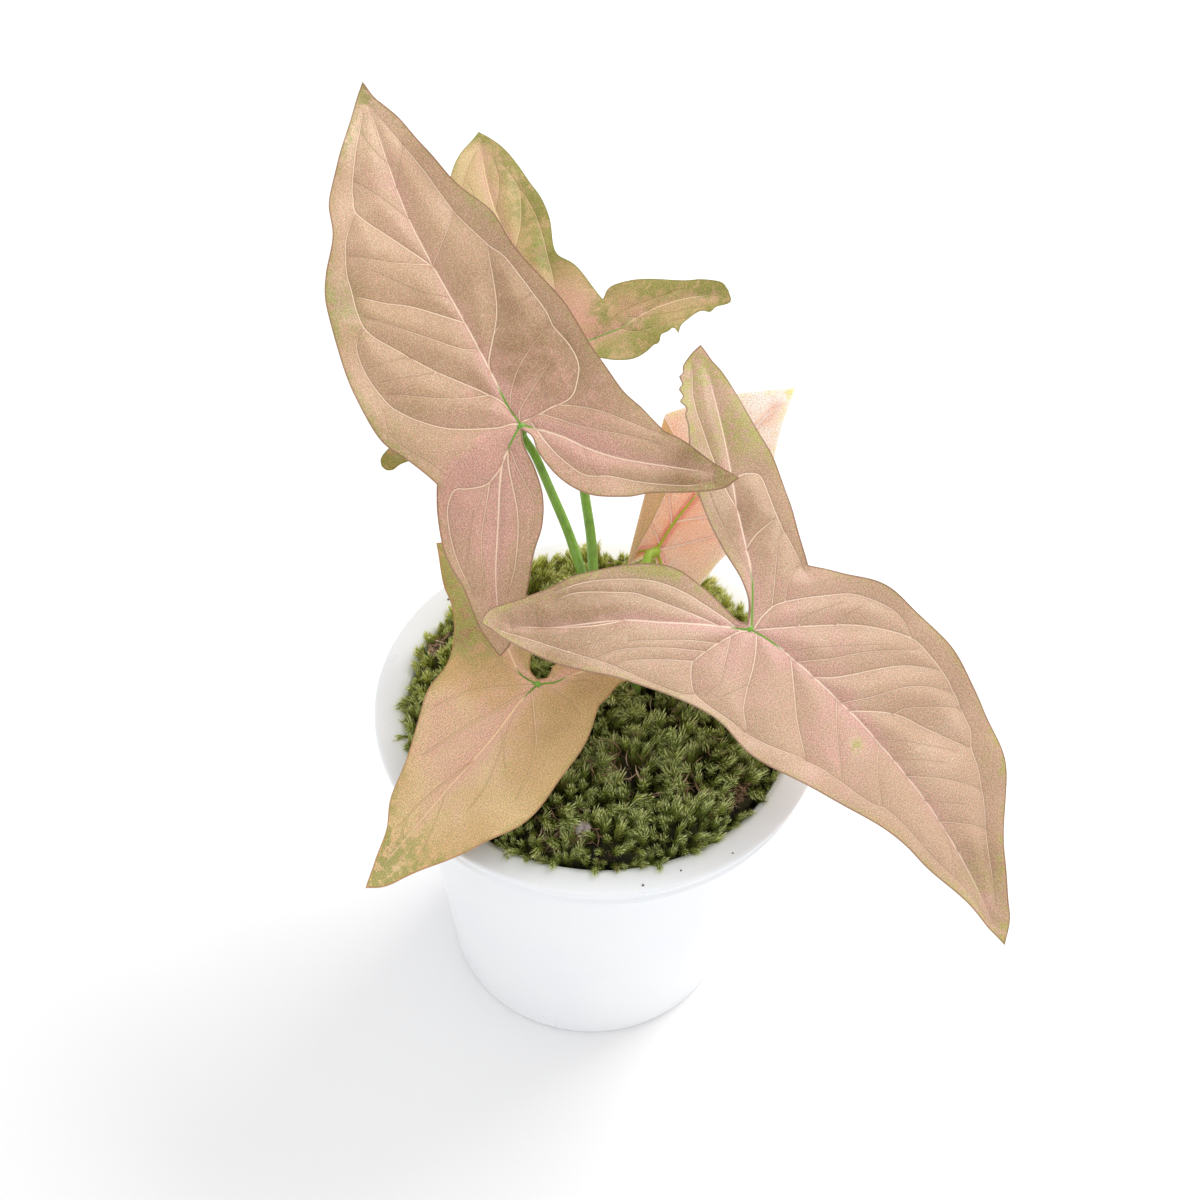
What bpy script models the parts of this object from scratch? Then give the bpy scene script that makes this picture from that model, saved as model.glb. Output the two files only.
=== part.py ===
"""An arrowhead plant (a pink and bronze Syngonium) in a round white plastic pot.

The plant stands upright on the flat underside of its pot. The origin is the
middle of that underside, +Z is up, and the plant is seen in the photograph
from the -Y side. The pot holds soil, a cushion of live moss covers the soil,
and five leaves stand on stalks of their own in holes through moss and soil.

All shapes are worked out in millimetres and turned into metres at the end.
Each leaf is drawn flat first: p runs from the stalk towards the leaf's tip,
q runs to the leaf's left, and the flat drawing is then lifted, folded, waved
and turned into place.
"""

import math

import bmesh
import bpy
import numpy as np
from mathutils import Vector
from mathutils import geometry

MM = 0.001
SEAT_GAP = 0.3
SHARP_ANGLE = 40.0

# The pot: a 130 mm white plastic pot with a rolled collar.
POT_HEIGHT = 110.0
POT_RIM_RADIUS = 65.0
POT_MOUTH_RADIUS = 54.8
POT_COLLAR_HEIGHT = 7.4
POT_SHOULDER_RADIUS = 55.0
POT_BASE_RADIUS = 42.3
POT_WALL = 2.0
POT_FLOOR = 3.0
POT_MID_HEIGHT = 55.0
POT_SEGMENTS = 64

# The soil fills the pot, and the moss lies on it like a cushion.
SOIL_TOP = 96.0
MOSS_EDGE = 109.0
MOSS_CROWN = 121.0
MOSS_LUMP = 1.3
MOSS_LUMP_WIDTHS = (5.3, 4.6, 3.7)
MOSS_SIDE = 4.0
MOSS_RINGS = 9
MOSS_SEGMENTS = 44

# The stalks are round and stand this deep, in holes a little wider than they are.
STALK_FOOT = 76.0
STALK_BASE_RADIUS = 1.75
STALK_TOP_RADIUS = 1.2
STALK_SIDES = 8
STALK_STEP = 6.0
STALK_NECK_DROP = 4.5
STALK_NECK_BACK = 2.6
STALK_TOP_BACK = 1.0
HOLE_CLEARANCE = 0.4
HOLE_SIDES = 12
HOLE_OVERRUN = 5.0

# The leaf blades.
BLADE_THICKNESS = 0.7
RIB_HEIGHT = 0.8
RIB_HALF_WIDTH = 1.3
RIB_SOFTNESS = 0.8
RIB_THINNING = 0.8
OUTLINE_STEP = 4.2
RIB_STEP = 5.0
VEIN_STEP = 5.0
INNER_STEP = 6.2
INNER_CLEARANCE = 0.55
FOLD_SOFTNESS = 4.0
FOLD_START = 6.0
WAVE_REACH = 9.0
WAVE_CALM = 12.0
PUFF_REACH = 4.0

WHITE_PLASTIC = ("white_plastic", (0.86, 0.88, 0.91), 0.32)
DARK_SOIL = ("dark_soil", (0.045, 0.028, 0.016), 0.95)
GREEN_MOSS = ("green_moss", (0.075, 0.105, 0.025), 0.9)
FRESH_STALK = ("fresh_green_stalk", (0.33, 0.43, 0.09), 0.4)
PINK_BRONZE = ("pink_bronze_leaf", (0.62, 0.40, 0.28), 0.42)
GOLDEN_BRONZE = ("golden_bronze_leaf", (0.60, 0.44, 0.20), 0.42)
GREEN_GOLD = ("green_gold_leaf", (0.50, 0.47, 0.20), 0.45)
SALMON = ("salmon_leaf", (0.68, 0.38, 0.28), 0.45)

# Each leaf. "heading", "climb" and "roll" are degrees: the way its tip points,
# how far it points up, and how far the blade leans to its right. "foot" is where
# the stalk stands and "stalk" its route from there up. "droop" gives, by
# direction from the stalk, how far the blade has risen 100 mm out. "fold" is the
# slope of the two halves beside the midrib, "wave" is the margin's height, length
# and start, and "puff" is how far the blade swells between its veins. "curl"
# rolls what lies beyond a line. The outline is drawn in smooth runs between its
# sharp corners. The first of the ribs is the midrib.
LEAVES = {
    "upper_leaf": {
        "material": PINK_BRONZE,
        "stalk_material": FRESH_STALK,
        "junction": (-24.5, 28.5, 196.0),
        "heading": 120.0,
        "climb": 28.0,
        "roll": 10.0,
        "foot": (1.0, 6.0),
        "stalk": [(1.0, 6.0, 123.0), (-2.6, 11.0, 139.0), (-6.9, 15.2, 153.4), (-10.8, 18.7, 164.8),
                  (-15.5, 22.2, 176.0), (-20.4, 25.8, 187.0)],
        "droop": [(0, -12.0), (75, 5.0), (140, -25.0), (170, -25.0), (220, 0.0), (285, 5.0)],
        "fold": 0.08,
        "wave": (1.1, 27.0, 0.4),
        "puff": 0.9,
        "outline": [
            [(-1.5, 0.3), (-6.0, 1.5), (-13.0, 1.2), (-20.0, 1.8), (-27.0, 5.0), (-33.0, 10.0),
             (-40.0, 14.5), (-47.0, 19.5), (-52.5, 25.0), (-54.5, 29.0)],
            [(-54.5, 29.0), (-45.0, 31.0), (-35.0, 31.0), (-24.5, 32.0), (-14.0, 30.0), (-7.0, 27.5)],
            [(-7.0, 27.5), (1.5, 32.0), (10.0, 37.0), (23.0, 38.5), (37.0, 37.5), (50.0, 35.5),
             (58.5, 32.0), (68.0, 26.0), (78.0, 23.0), (88.0, 16.5), (98.0, 9.0), (106.0, 3.0),
             (110.0, -0.5)],
            [(110.0, -0.5), (104.0, -1.8), (95.0, -5.5), (84.0, -8.0), (72.0, -11.0), (59.5, -16.5),
             (48.5, -18.0), (36.0, -21.5), (23.5, -24.5), (9.5, -26.5), (-2.0, -28.5), (-9.0, -32.0),
             (-17.0, -35.0)],
            [(-17.0, -35.0), (-21.5, -38.5), (-28.0, -42.5), (-33.0, -46.0), (-36.5, -48.5)],
            [(-36.5, -48.5), (-37.5, -43.0), (-35.0, -34.5), (-31.0, -25.0), (-29.5, -18.0),
             (-25.5, -9.5), (-18.0, -4.0), (-9.5, -1.2), (-4.5, -1.4), (-1.5, 0.3)],
        ],
        "ribs": [
            [(0.0, 0.0), (7.5, 1.2), (17.0, 1.6), (33.5, 2.6), (52.0, 4.0), (68.0, 4.4), (86.0, 2.8),
             (103.0, 0.6)],
            [(0.0, 0.0), (-7.0, -8.5), (-13.5, -14.5), (-19.0, -21.0), (-25.0, -30.5), (-32.0, -42.0)],
            [(0.0, 0.0), (-6.0, 7.0), (-12.0, 11.0), (-21.5, 15.5), (-34.0, 21.5), (-47.0, 26.0)],
        ],
        "veins": [
            [(0.0, 0.0), (5.0, 15.5), (14.0, 29.0), (26.0, 33.5)],
            [(7.5, 1.2), (19.5, 12.0), (34.5, 26.5), (43.0, 30.5)],
            [(20.0, 1.8), (31.0, 13.5), (45.0, 26.0)],
            [(33.5, 2.6), (43.0, 16.5), (53.0, 28.0)],
            [(52.0, 4.0), (58.0, 10.5), (73.0, 17.0)],
            [(68.0, 4.4), (75.0, 7.5), (86.5, 11.0)],
            [(0.0, 0.0), (1.0, -13.0), (10.0, -22.0)],
            [(7.5, 1.2), (17.0, -9.0), (22.0, -20.0)],
            [(17.0, 1.6), (27.5, -3.5), (42.0, -11.0)],
            [(33.5, 2.6), (46.0, -5.0), (56.0, -11.0)],
            [(52.0, 4.0), (61.0, -3.0), (70.0, -7.0)],
            [(-7.0, -8.5), (-13.0, -20.0), (-26.0, -36.0)],
            [(-6.0, 7.0), (-11.0, 16.5), (-8.5, 23.0)],
        ],
    },
    "right_leaf": {
        "material": PINK_BRONZE,
        "stalk_material": FRESH_STALK,
        "junction": (40.5, -6.5, 156.0),
        "heading": -36.0,
        "climb": -26.0,
        "roll": -10.0,
        "foot": (10.0, -1.0),
        "stalk": [(10.0, -1.0, 123.0), (14.0, -0.8, 132.0), (24.0, -0.8, 143.5), (33.0, -1.8, 150.5)],
        "droop": [(0, -20.0), (75, 0.0), (140, -10.0), (180, -5.0), (220, 3.0), (285, 0.0)],
        "fold": 0.08,
        "wave": (1.0, 31.0, 2.1),
        "puff": 0.9,
        "outline": [
            [(-2.0, 0.2), (-5.0, 4.5), (-12.0, 8.0), (-21.5, 10.0), (-30.0, 13.0), (-43.0, 21.0),
             (-54.0, 29.5), (-61.0, 37.0), (-66.5, 45.0), (-67.5, 52.0)],
            [(-67.5, 52.0), (-58.5, 51.0), (-48.0, 48.0), (-37.5, 43.5), (-27.5, 40.5), (-18.0, 35.5),
             (-9.5, 29.5), (-1.5, 25.2)],
            [(-1.5, 25.2), (6.0, 30.0), (16.5, 36.0), (28.5, 38.2), (40.5, 39.0), (52.0, 36.8),
             (61.5, 35.0), (74.5, 31.0), (84.0, 24.0), (94.0, 15.5), (103.0, 9.0), (110.0, 4.5),
             (114.0, -1.0)],
            [(114.0, -1.0), (105.5, -2.2), (97.0, -3.5), (81.0, -7.0), (71.0, -9.0), (57.0, -13.0),
             (39.0, -21.0), (23.5, -26.3), (10.0, -26.8), (-3.0, -31.0), (-15.0, -38.0), (-26.0, -45.5),
             (-38.5, -52.0), (-52.0, -56.0)],
            [(-52.0, -56.0), (-53.0, -51.0), (-49.5, -43.0), (-46.5, -35.5), (-43.5, -25.5),
             (-36.5, -13.5), (-27.5, -4.8), (-18.0, -1.7), (-9.0, -1.4), (-4.5, -1.2), (-2.0, 0.2)],
        ],
        "ribs": [
            [(0.0, 0.0), (7.5, 2.0), (16.0, 3.2), (25.5, 4.1), (35.0, 5.0), (47.5, 5.5), (61.0, 5.6),
             (76.0, 5.0), (92.0, 3.0), (107.0, 0.4)],
            [(0.0, 0.0), (-9.5, 10.5), (-17.5, 16.5), (-26.0, 22.5), (-42.5, 35.5), (-60.0, 48.0)],
            [(0.0, 0.0), (-11.0, -10.0), (-19.0, -18.0), (-27.0, -26.0), (-38.0, -41.0), (-46.5, -50.0)],
        ],
        "veins": [
            [(0.0, 0.0), (0.5, 10.0), (8.0, 22.0), (19.0, 30.0)],
            [(0.0, 0.0), (9.0, 10.5), (24.5, 27.5), (42.0, 33.5)],
            [(25.5, 4.1), (35.0, 17.5), (54.0, 29.0)],
            [(35.0, 5.0), (49.0, 16.5), (65.0, 26.0)],
            [(61.0, 5.6), (68.0, 13.5), (79.0, 17.5)],
            [(0.0, 0.0), (-5.0, -13.0), (1.0, -25.0)],
            [(0.0, 0.0), (7.0, -9.5), (14.0, -20.5)],
            [(16.0, 3.2), (24.0, -6.0), (36.0, -14.0)],
            [(25.5, 4.1), (38.5, -2.5), (51.0, -10.0)],
            [(47.5, 5.5), (57.5, -3.5), (67.0, -7.5)],
            [(61.0, 5.6), (72.0, 0.5), (82.0, -3.0)],
            [(-17.5, 16.5), (-19.5, 25.0), (-22.0, 33.0)],
            [(-9.5, 10.5), (-25.0, 15.5), (-37.0, 22.0)],
            [(-11.0, -10.0), (-12.0, -23.0), (-20.0, -37.0)],
            [(-11.0, -10.0), (-24.0, -14.0), (-36.0, -22.0)],
        ],
    },
    "low_leaf": {
        "material": GOLDEN_BRONZE,
        "stalk_material": FRESH_STALK,
        "junction": (-17.5, -13.0, 136.0),
        "heading": -133.0,
        "climb": -18.0,
        "roll": 2.0,
        "foot": (-11.5, -4.0),
        "stalk": [(-11.5, -4.0, 122.5), (-12.3, -5.6, 127.5)],
        "droop": [(0, -25.0), (75, -5.0), (110, -10.0), (140, -10.0), (180, 10.0), (220, 10.0),
                  (285, 0.0)],
        "fold": 0.08,
        "wave": (0.8, 24.0, 1.2),
        "puff": 0.7,
        "outline": [
            [(-1.2, -0.8), (-3.5, 1.0), (-7.0, 0.2), (-11.0, 1.5), (-16.0, 4.0), (-22.0, 10.0),
             (-27.0, 19.0), (-28.0, 29.5)],
            [(-28.0, 29.5), (-22.0, 22.5), (-15.5, 18.2), (-10.5, 18.4), (-6.0, 18.8)],
            [(-6.0, 18.8), (2.0, 22.5), (12.0, 25.0), (24.0, 26.5), (34.0, 25.0), (44.0, 20.0),
             (52.0, 15.0), (61.0, 9.5), (68.0, 4.8), (72.0, 0.0)],
            [(72.0, 0.0), (65.0, -2.6), (57.0, -5.2), (50.0, -10.0), (41.0, -12.5), (31.0, -17.5),
             (22.0, -21.5), (13.0, -22.8), (5.0, -27.5), (-1.0, -34.0), (-5.0, -42.0), (-12.5, -52.0)],
            [(-12.5, -52.0), (-19.0, -45.0), (-21.0, -35.0), (-18.0, -23.0), (-12.0, -12.5),
             (-6.0, -7.5), (-2.0, -4.5), (-1.2, -0.8)],
        ],
        "ribs": [
            [(0.0, 0.0), (7.0, 0.0), (20.5, 1.3), (37.0, 1.0), (52.0, 0.6), (66.0, -0.2)],
            [(0.0, 0.0), (0.5, -6.5), (-3.0, -15.0), (-6.0, -26.0), (-9.0, -38.0), (-11.5, -47.0)],
            [(0.0, 0.0), (-4.0, 3.5), (-10.0, 6.5), (-18.0, 13.0), (-25.0, 25.0)],
        ],
        "veins": [
            [(0.0, 0.0), (9.0, -10.0), (19.0, -17.0)],
            [(7.0, 0.0), (17.5, -5.5), (31.0, -10.0)],
            [(0.0, 0.0), (10.0, 9.5), (21.5, 19.0)],
            [(0.0, 0.0), (-1.5, 7.0), (3.0, 17.0)],
            [(20.5, 1.3), (31.0, 8.5), (45.0, 13.5)],
            [(37.0, 1.0), (46.0, -3.5), (56.0, -4.0)],
            [(0.5, -6.5), (3.0, -14.0), (2.0, -24.0)],
        ],
    },
    "rear_leaf": {
        "material": GREEN_GOLD,
        "stalk_material": FRESH_STALK,
        "junction": (-14.0, 74.0, 180.0),
        "heading": 111.0,
        "climb": 16.0,
        "roll": 3.0,
        "foot": (-3.0, 15.0),
        "stalk": [(-3.0, 15.0, 122.5), (-2.8, 23.0, 130.5), (-4.2, 35.0, 141.7), (-6.7, 44.7, 151.2),
                  (-10.0, 58.0, 163.0)],
        "droop": [(0, -15.0), (75, 10.0), (120, 10.0), (240, 10.0), (285, 10.0)],
        "fold": 0.08,
        "wave": (0.9, 26.0, 0.0),
        "puff": 0.8,
        "outline": [
            [(-2.0, 0.0), (-6.0, 6.0), (-11.0, 15.0), (-16.0, 27.0), (-20.0, 38.0), (-23.5, 50.0),
             (-25.5, 57.0), (-24.5, 61.5)],
            [(-24.5, 61.5), (-19.5, 58.0), (-14.0, 51.0), (-9.0, 42.0), (-5.0, 32.0), (-3.0, 23.0)],
            [(-3.0, 23.0), (6.0, 25.0), (20.0, 26.0), (34.0, 24.5), (46.0, 22.0), (58.0, 18.0),
             (68.0, 13.5), (76.0, 8.0), (83.0, 0.5)],
            [(83.0, 0.5), (78.0, -2.6), (68.0, -6.0), (58.0, -8.0), (44.0, -9.0), (32.0, -7.2),
             (24.0, -11.0), (12.0, -15.0)],
            [(12.0, -15.0), (14.3, -18.5), (13.0, -29.5), (10.0, -38.5), (6.5, -47.0), (-1.0, -50.0)],
            [(-1.0, -50.0), (-2.0, -41.0), (-4.8, -32.0), (-4.3, -28.0), (-7.2, -22.5), (-8.5, -16.0),
             (-7.0, -8.0), (-4.0, -3.0), (-2.0, 0.0)],
        ],
        "ribs": [
            [(0.0, 0.0), (12.0, 1.5), (28.0, 3.5), (50.0, 5.0), (64.0, 4.0), (78.0, 1.4)],
            [(0.0, 0.0), (1.0, -7.0), (2.0, -17.0), (4.5, -26.0), (5.0, -36.0), (3.5, -45.5)],
            [(0.0, 0.0), (-4.0, 12.0), (-9.0, 26.0), (-15.0, 40.0), (-21.5, 55.0)],
        ],
        "veins": [
            [(0.0, 0.0), (4.0, 13.0), (16.0, 22.0)],
            [(12.0, 1.5), (21.0, 12.0), (36.0, 20.0)],
            [(28.0, 3.5), (40.0, 12.0), (54.0, 16.0)],
            [(12.0, 1.5), (20.0, -3.0), (30.0, -4.5)],
            [(2.0, -17.0), (-1.5, -25.0), (-1.0, -36.0)],
            [(1.0, -7.0), (6.0, -12.0), (10.0, -22.0)],
        ],
    },
    "young_leaf": {
        "material": SALMON,
        "stalk_material": FRESH_STALK,
        "junction": (15.0, 40.0, 134.0),
        "heading": 36.0,
        "climb": 44.0,
        "roll": 158.0,
        "foot": (10.0, 12.0),
        "stalk": [(10.0, 12.0, 120.5), (10.1, 13.2, 125.0), (10.8, 24.0, 130.8)],
        "droop": [(0, 10.0), (75, 0.0), (140, 0.0), (180, 0.0), (220, 0.0), (285, 0.0)],
        "fold": -0.08,
        "wave": (0.6, 22.0, 0.7),
        "puff": 0.5,
        "curl": {"start": (18.0, -14.0), "end": (-8.0, -1.5), "radius": 2.2, "turn": -150.0},
        "outline": [
            [(-1.5, 0.0), (-4.5, 4.0), (-8.0, 9.5), (-9.5, 15.0)],
            [(-9.5, 15.0), (-4.0, 15.6), (2.0, 16.2), (10.0, 16.2), (18.0, 17.0), (27.0, 15.5),
             (35.0, 12.5), (43.0, 8.4), (50.0, 4.8), (61.5, 0.0)],
            [(61.5, 0.0), (55.0, -6.5), (48.0, -12.8), (40.0, -18.5), (34.0, -21.3), (26.0, -21.5),
             (18.0, -23.5), (10.0, -21.5), (3.0, -17.0), (-4.0, -11.5), (-11.0, -6.0)],
            [(-11.0, -6.0), (-7.5, -3.0), (-4.5, -1.6), (-1.5, 0.0)],
        ],
        "ribs": [
            [(0.0, 0.0), (8.5, -1.2), (20.0, -1.5), (39.0, -1.4), (56.0, -0.4)],
            [(0.0, 0.0), (-3.0, 5.5), (-6.5, 11.5)],
            [(0.0, 0.0), (-3.5, -3.6), (-8.5, -6.0)],
        ],
        "veins": [
            [(0.0, 0.0), (3.0, -7.0), (8.0, -14.5)],
            [(8.5, -1.2), (15.0, -8.0), (25.0, -14.0)],
            [(20.0, -1.5), (29.0, -9.0), (39.0, -13.0)],
            [(0.0, 0.0), (8.0, 6.0), (16.0, 11.5)],
            [(8.5, -1.2), (19.0, 6.0), (31.0, 9.0)],
        ],
    },
}


def clear_scene():
    """Take away whatever the opened scene holds."""
    for thing in list(bpy.data.objects):
        bpy.data.objects.remove(thing, do_unlink=True)


def make_material(name, colour, roughness):
    """One Principled material, shared by all the objects that name it."""
    found = bpy.data.materials.get(name)
    if found:
        return found
    made = bpy.data.materials.new(name)
    made.use_nodes = True
    shader = made.node_tree.nodes["Principled BSDF"]
    shader.inputs["Base Color"].default_value = (*colour, 1.0)
    shader.inputs["Roughness"].default_value = roughness
    shader.inputs["Metallic"].default_value = 0.0
    return made


def make_object(name, points, faces, finish):
    """A smooth-shaded mesh object from points in millimetres."""
    mesh = bpy.data.meshes.new(name)
    mesh.from_pydata([tuple(float(c) * MM for c in point) for point in points], [], faces)
    mesh.validate()
    mesh.materials.append(make_material(*finish))
    mesh.shade_smooth()
    mesh.set_sharp_from_angle(angle=math.radians(SHARP_ANGLE))
    thing = bpy.data.objects.new(name, mesh)
    bpy.context.scene.collection.objects.link(thing)
    return thing


def smooth_run(points, step):
    """Points about one step apart on a smooth curve through the given points."""
    knots = np.array(points, float)
    before = 2.0 * knots[0] - knots[1]
    after = 2.0 * knots[-1] - knots[-2]
    padded = np.vstack([before, knots, after])
    fine = []
    for i in range(1, len(padded) - 2):
        a, b, c, d = padded[i - 1:i + 3]
        for t in np.linspace(0.0, 1.0, 12, endpoint=False):
            bend = 2.0 * a - 5.0 * b + 4.0 * c - d
            twist = 3.0 * (b - c) + d - a
            fine.append(0.5 * (2.0 * b + (c - a) * t + bend * t * t + twist * t * t * t))
    fine.append(knots[-1])
    fine = np.array(fine)
    along = np.concatenate([[0.0], np.cumsum(np.linalg.norm(np.diff(fine, axis=0), axis=1))])
    count = max(1, round(along[-1] / step))
    stations = np.linspace(0.0, along[-1], count + 1)
    return np.stack([np.interp(stations, along, fine[:, k]) for k in range(fine.shape[1])], axis=1)


def leaf_outline(leaf, step):
    """The leaf's closed outline, each corner once."""
    runs = [smooth_run(run, step)[:-1] for run in leaf["outline"]]
    return np.vstack(runs)


def distance_to_lines(points, lines):
    """How far each point is from the nearest of the given polylines."""
    nearest = np.full(len(points), 1e9)
    for line in lines:
        for a, b in zip(line[:-1], line[1:]):
            side = b - a
            share = np.clip(((points - a) @ side) / max(side @ side, 1e-9), 0.0, 1.0)
            away = np.linalg.norm(points - (a + share[:, None] * side), axis=1)
            nearest = np.minimum(nearest, away)
    return nearest


def inside(points, loop):
    """Which points lie inside the closed loop, by counting crossings."""
    result = np.zeros(len(points), bool)
    for a, b in zip(loop, np.roll(loop, -1, axis=0)):
        spans = (a[1] > points[:, 1]) != (b[1] > points[:, 1])
        reach = (b[0] - a[0]) * (points[:, 1] - a[1]) / (b[1] - a[1] + 1e-12) + a[0]
        result ^= spans & (points[:, 0] < reach)
    return result


def droop_at(leaf, angle):
    """The rise 100 mm out in a direction, eased between the directions given."""
    marks = leaf["droop"]
    wrapped = marks + [(marks[0][0] + 360, marks[0][1])]
    turn = np.degrees(angle) % 360.0
    rise = np.zeros_like(turn)
    for (a, low), (b, high) in zip(wrapped[:-1], wrapped[1:]):
        here = (turn >= a) & (turn <= b)
        ease = (1.0 - np.cos(np.pi * (turn - a) / (b - a))) / 2.0
        rise = np.where(here, low + (high - low) * ease, rise)
    return rise


def blade_rise(leaf, flat, loop, ribs, veins):
    """How far the middle of the blade stands above its plane at flat points."""
    p, q = flat[:, 0], flat[:, 1]
    reach = np.hypot(p, q)
    rise = droop_at(leaf, np.arctan2(q, p)) * (reach / 100.0) ** 2
    towards_tip = 1.0 / (1.0 + np.exp(-p / FOLD_START))
    rise += leaf["fold"] * (np.hypot(q, FOLD_SOFTNESS) - FOLD_SOFTNESS) * towards_tip
    height, length, start = leaf["wave"]
    steps = np.linalg.norm(np.roll(loop, -1, axis=0) - loop, axis=1)
    along = np.cumsum(steps) - steps[0]
    apart = np.linalg.norm(flat[:, None, :] - loop[None, :, :], axis=2)
    nearest = apart.argmin(axis=1)
    calm = np.minimum(distance_to_lines(flat, ribs) / WAVE_CALM, 1.0)
    swing = np.sin(2.0 * np.pi * along[nearest] / length + start)
    rise += height * swing * np.exp(-apart.min(axis=1) / WAVE_REACH) * calm
    from_vein = distance_to_lines(flat, ribs + veins)
    rise += leaf["puff"] * (1.0 - np.exp(-(from_vein / PUFF_REACH) ** 2))
    return rise


def curled(leaf, flat, rise):
    """Roll the part beyond the curl's line over a small radius."""
    spot = np.column_stack([flat, rise])
    if "curl" not in leaf:
        return spot
    curl = leaf["curl"]
    start, end = np.array(curl["start"]), np.array(curl["end"])
    along = (end - start) / np.linalg.norm(end - start)
    outward = np.array([along[1], -along[0]])
    outward *= -np.sign(outward @ (np.zeros(2) - start))
    beyond = (flat - start) @ outward
    limit = abs(math.radians(curl["turn"]))
    angle = np.clip(beyond / curl["radius"], 0.0, limit)
    straight = np.maximum(beyond - limit * curl["radius"], 0.0)
    side = math.copysign(1.0, curl["turn"])
    travel = curl["radius"] * np.sin(angle) + straight * np.cos(angle)
    lift = side * (curl["radius"] * (1.0 - np.cos(angle)) + straight * np.sin(angle))
    rolled = beyond > 0.0
    shift = np.where(rolled, travel - beyond, 0.0)
    spot[:, :2] += shift[:, None] * outward
    spot[:, 2] = np.where(rolled, rise * np.cos(angle) + lift, rise)
    return spot


def leaf_axes(leaf):
    """The leaf's own directions: to its tip, to its left, and out of its upper face."""
    heading, climb, roll = (math.radians(leaf[k]) for k in ("heading", "climb", "roll"))
    to_tip = np.array([math.cos(climb) * math.cos(heading), math.cos(climb) * math.sin(heading),
                       math.sin(climb)])
    up = np.array([-math.sin(climb) * math.cos(heading), -math.sin(climb) * math.sin(heading),
                   math.cos(climb)])
    upper = math.cos(roll) * up + math.sin(roll) * np.cross(up, to_tip)
    return to_tip, np.cross(upper, to_tip), upper


def placed(leaf, spot):
    """Leaf coordinates turned into the plant's own."""
    to_tip, to_left, upper = leaf_axes(leaf)
    return (np.array(leaf["junction"]) + spot[:, :1] * to_tip + spot[:, 1:2] * to_left
            + spot[:, 2:] * upper)


def inner_points(loop, lines, step):
    """A staggered grid of points inside the loop, clear of it and of the lines."""
    low, high = loop.min(axis=0), loop.max(axis=0)
    rows = np.arange(low[1], high[1], step * 0.87)
    grid = []
    for number, height in enumerate(rows):
        shift = 0.5 * step * (number % 2)
        grid += [(across, height) for across in np.arange(low[0] + shift, high[0], step)]
    grid = np.array(grid)
    closed = np.vstack([loop, loop[:1]])
    clear = distance_to_lines(grid, [closed] + lines) > INNER_CLEARANCE * step
    return grid[inside(grid, loop) & clear]


def triangulated(loop, lines, extra):
    """The loop cut into triangles that keep to the given lines and points."""
    points = [tuple(point) for point in loop]
    edges = []
    for line in lines:
        first = len(points)
        points += [tuple(point) for point in line]
        edges += [(first + i, first + i + 1) for i in range(len(line) - 1)]
    points += [tuple(point) for point in extra]
    face = list(range(len(loop)))
    found = geometry.delaunay_2d_cdt([Vector(point) for point in points], edges, [face], 1, 1e-4)
    flat = np.array([tuple(point) for point in found[0]])
    return flat, [tuple(triangle) for triangle in found[2]]


def beside(line, away):
    """A line run alongside another one, kept off its ends."""
    ahead = np.gradient(line, axis=0)
    ahead /= np.linalg.norm(ahead, axis=1)[:, None]
    left = np.stack([-ahead[:, 1], ahead[:, 0]], axis=1)
    return (line + away * left)[1:-1]


def vertex_normals(points, triangles):
    """The upward normal at each point of a triangulated sheet."""
    corners = points[np.array(triangles)]
    normals = np.cross(corners[:, 1] - corners[:, 0], corners[:, 2] - corners[:, 0])
    total = np.zeros_like(points)
    for corner in range(3):
        np.add.at(total, np.array(triangles)[:, corner], normals)
    return total / np.linalg.norm(total, axis=1)[:, None]


def rim_edges(triangles):
    """The edges that only one triangle uses, in that triangle's direction."""
    seen = {}
    for a, b, c in triangles:
        for edge in ((a, b), (b, c), (c, a)):
            seen[edge] = True
    return [edge for edge in seen if (edge[1], edge[0]) not in seen]


def build_blade(name, leaf):
    """One leaf blade: a closed sheet, thicker along its ribs underneath."""
    loop = leaf_outline(leaf, OUTLINE_STEP)
    ribs = [smooth_run(rib, RIB_STEP) for rib in leaf["ribs"]]
    veins = [smooth_run(vein, VEIN_STEP) for vein in leaf["veins"]]
    midrib_sides = [beside(ribs[0], RIB_HALF_WIDTH), beside(ribs[0], -RIB_HALF_WIDTH)]
    lines = ribs + veins
    extra = inner_points(loop, lines + midrib_sides, INNER_STEP)
    flat, triangles = triangulated(loop, lines + midrib_sides, extra)
    rise = blade_rise(leaf, flat, loop, ribs, veins)
    middle = placed(leaf, curled(leaf, flat, rise))
    up = vertex_normals(middle, triangles)
    taper = 1.0 - RIB_THINNING * np.hypot(flat[:, 0], flat[:, 1]) / np.abs(loop).max()
    ridge = RIB_HEIGHT * taper * np.exp(-(distance_to_lines(flat, ribs) / RIB_SOFTNESS) ** 2)
    top = middle + up * BLADE_THICKNESS / 2.0
    bottom = middle - up * (BLADE_THICKNESS / 2.0 + ridge)[:, None]
    count = len(flat)
    faces = [(a, b, c) for a, b, c in triangles]
    faces += [(c + count, b + count, a + count) for a, b, c in triangles]
    for a, b in rim_edges(triangles):
        faces += [(b, a, a + count), (b, a + count, b + count)]
    return make_object(f"{name}_blade", np.vstack([top, bottom]), faces, leaf["material"])


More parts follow.
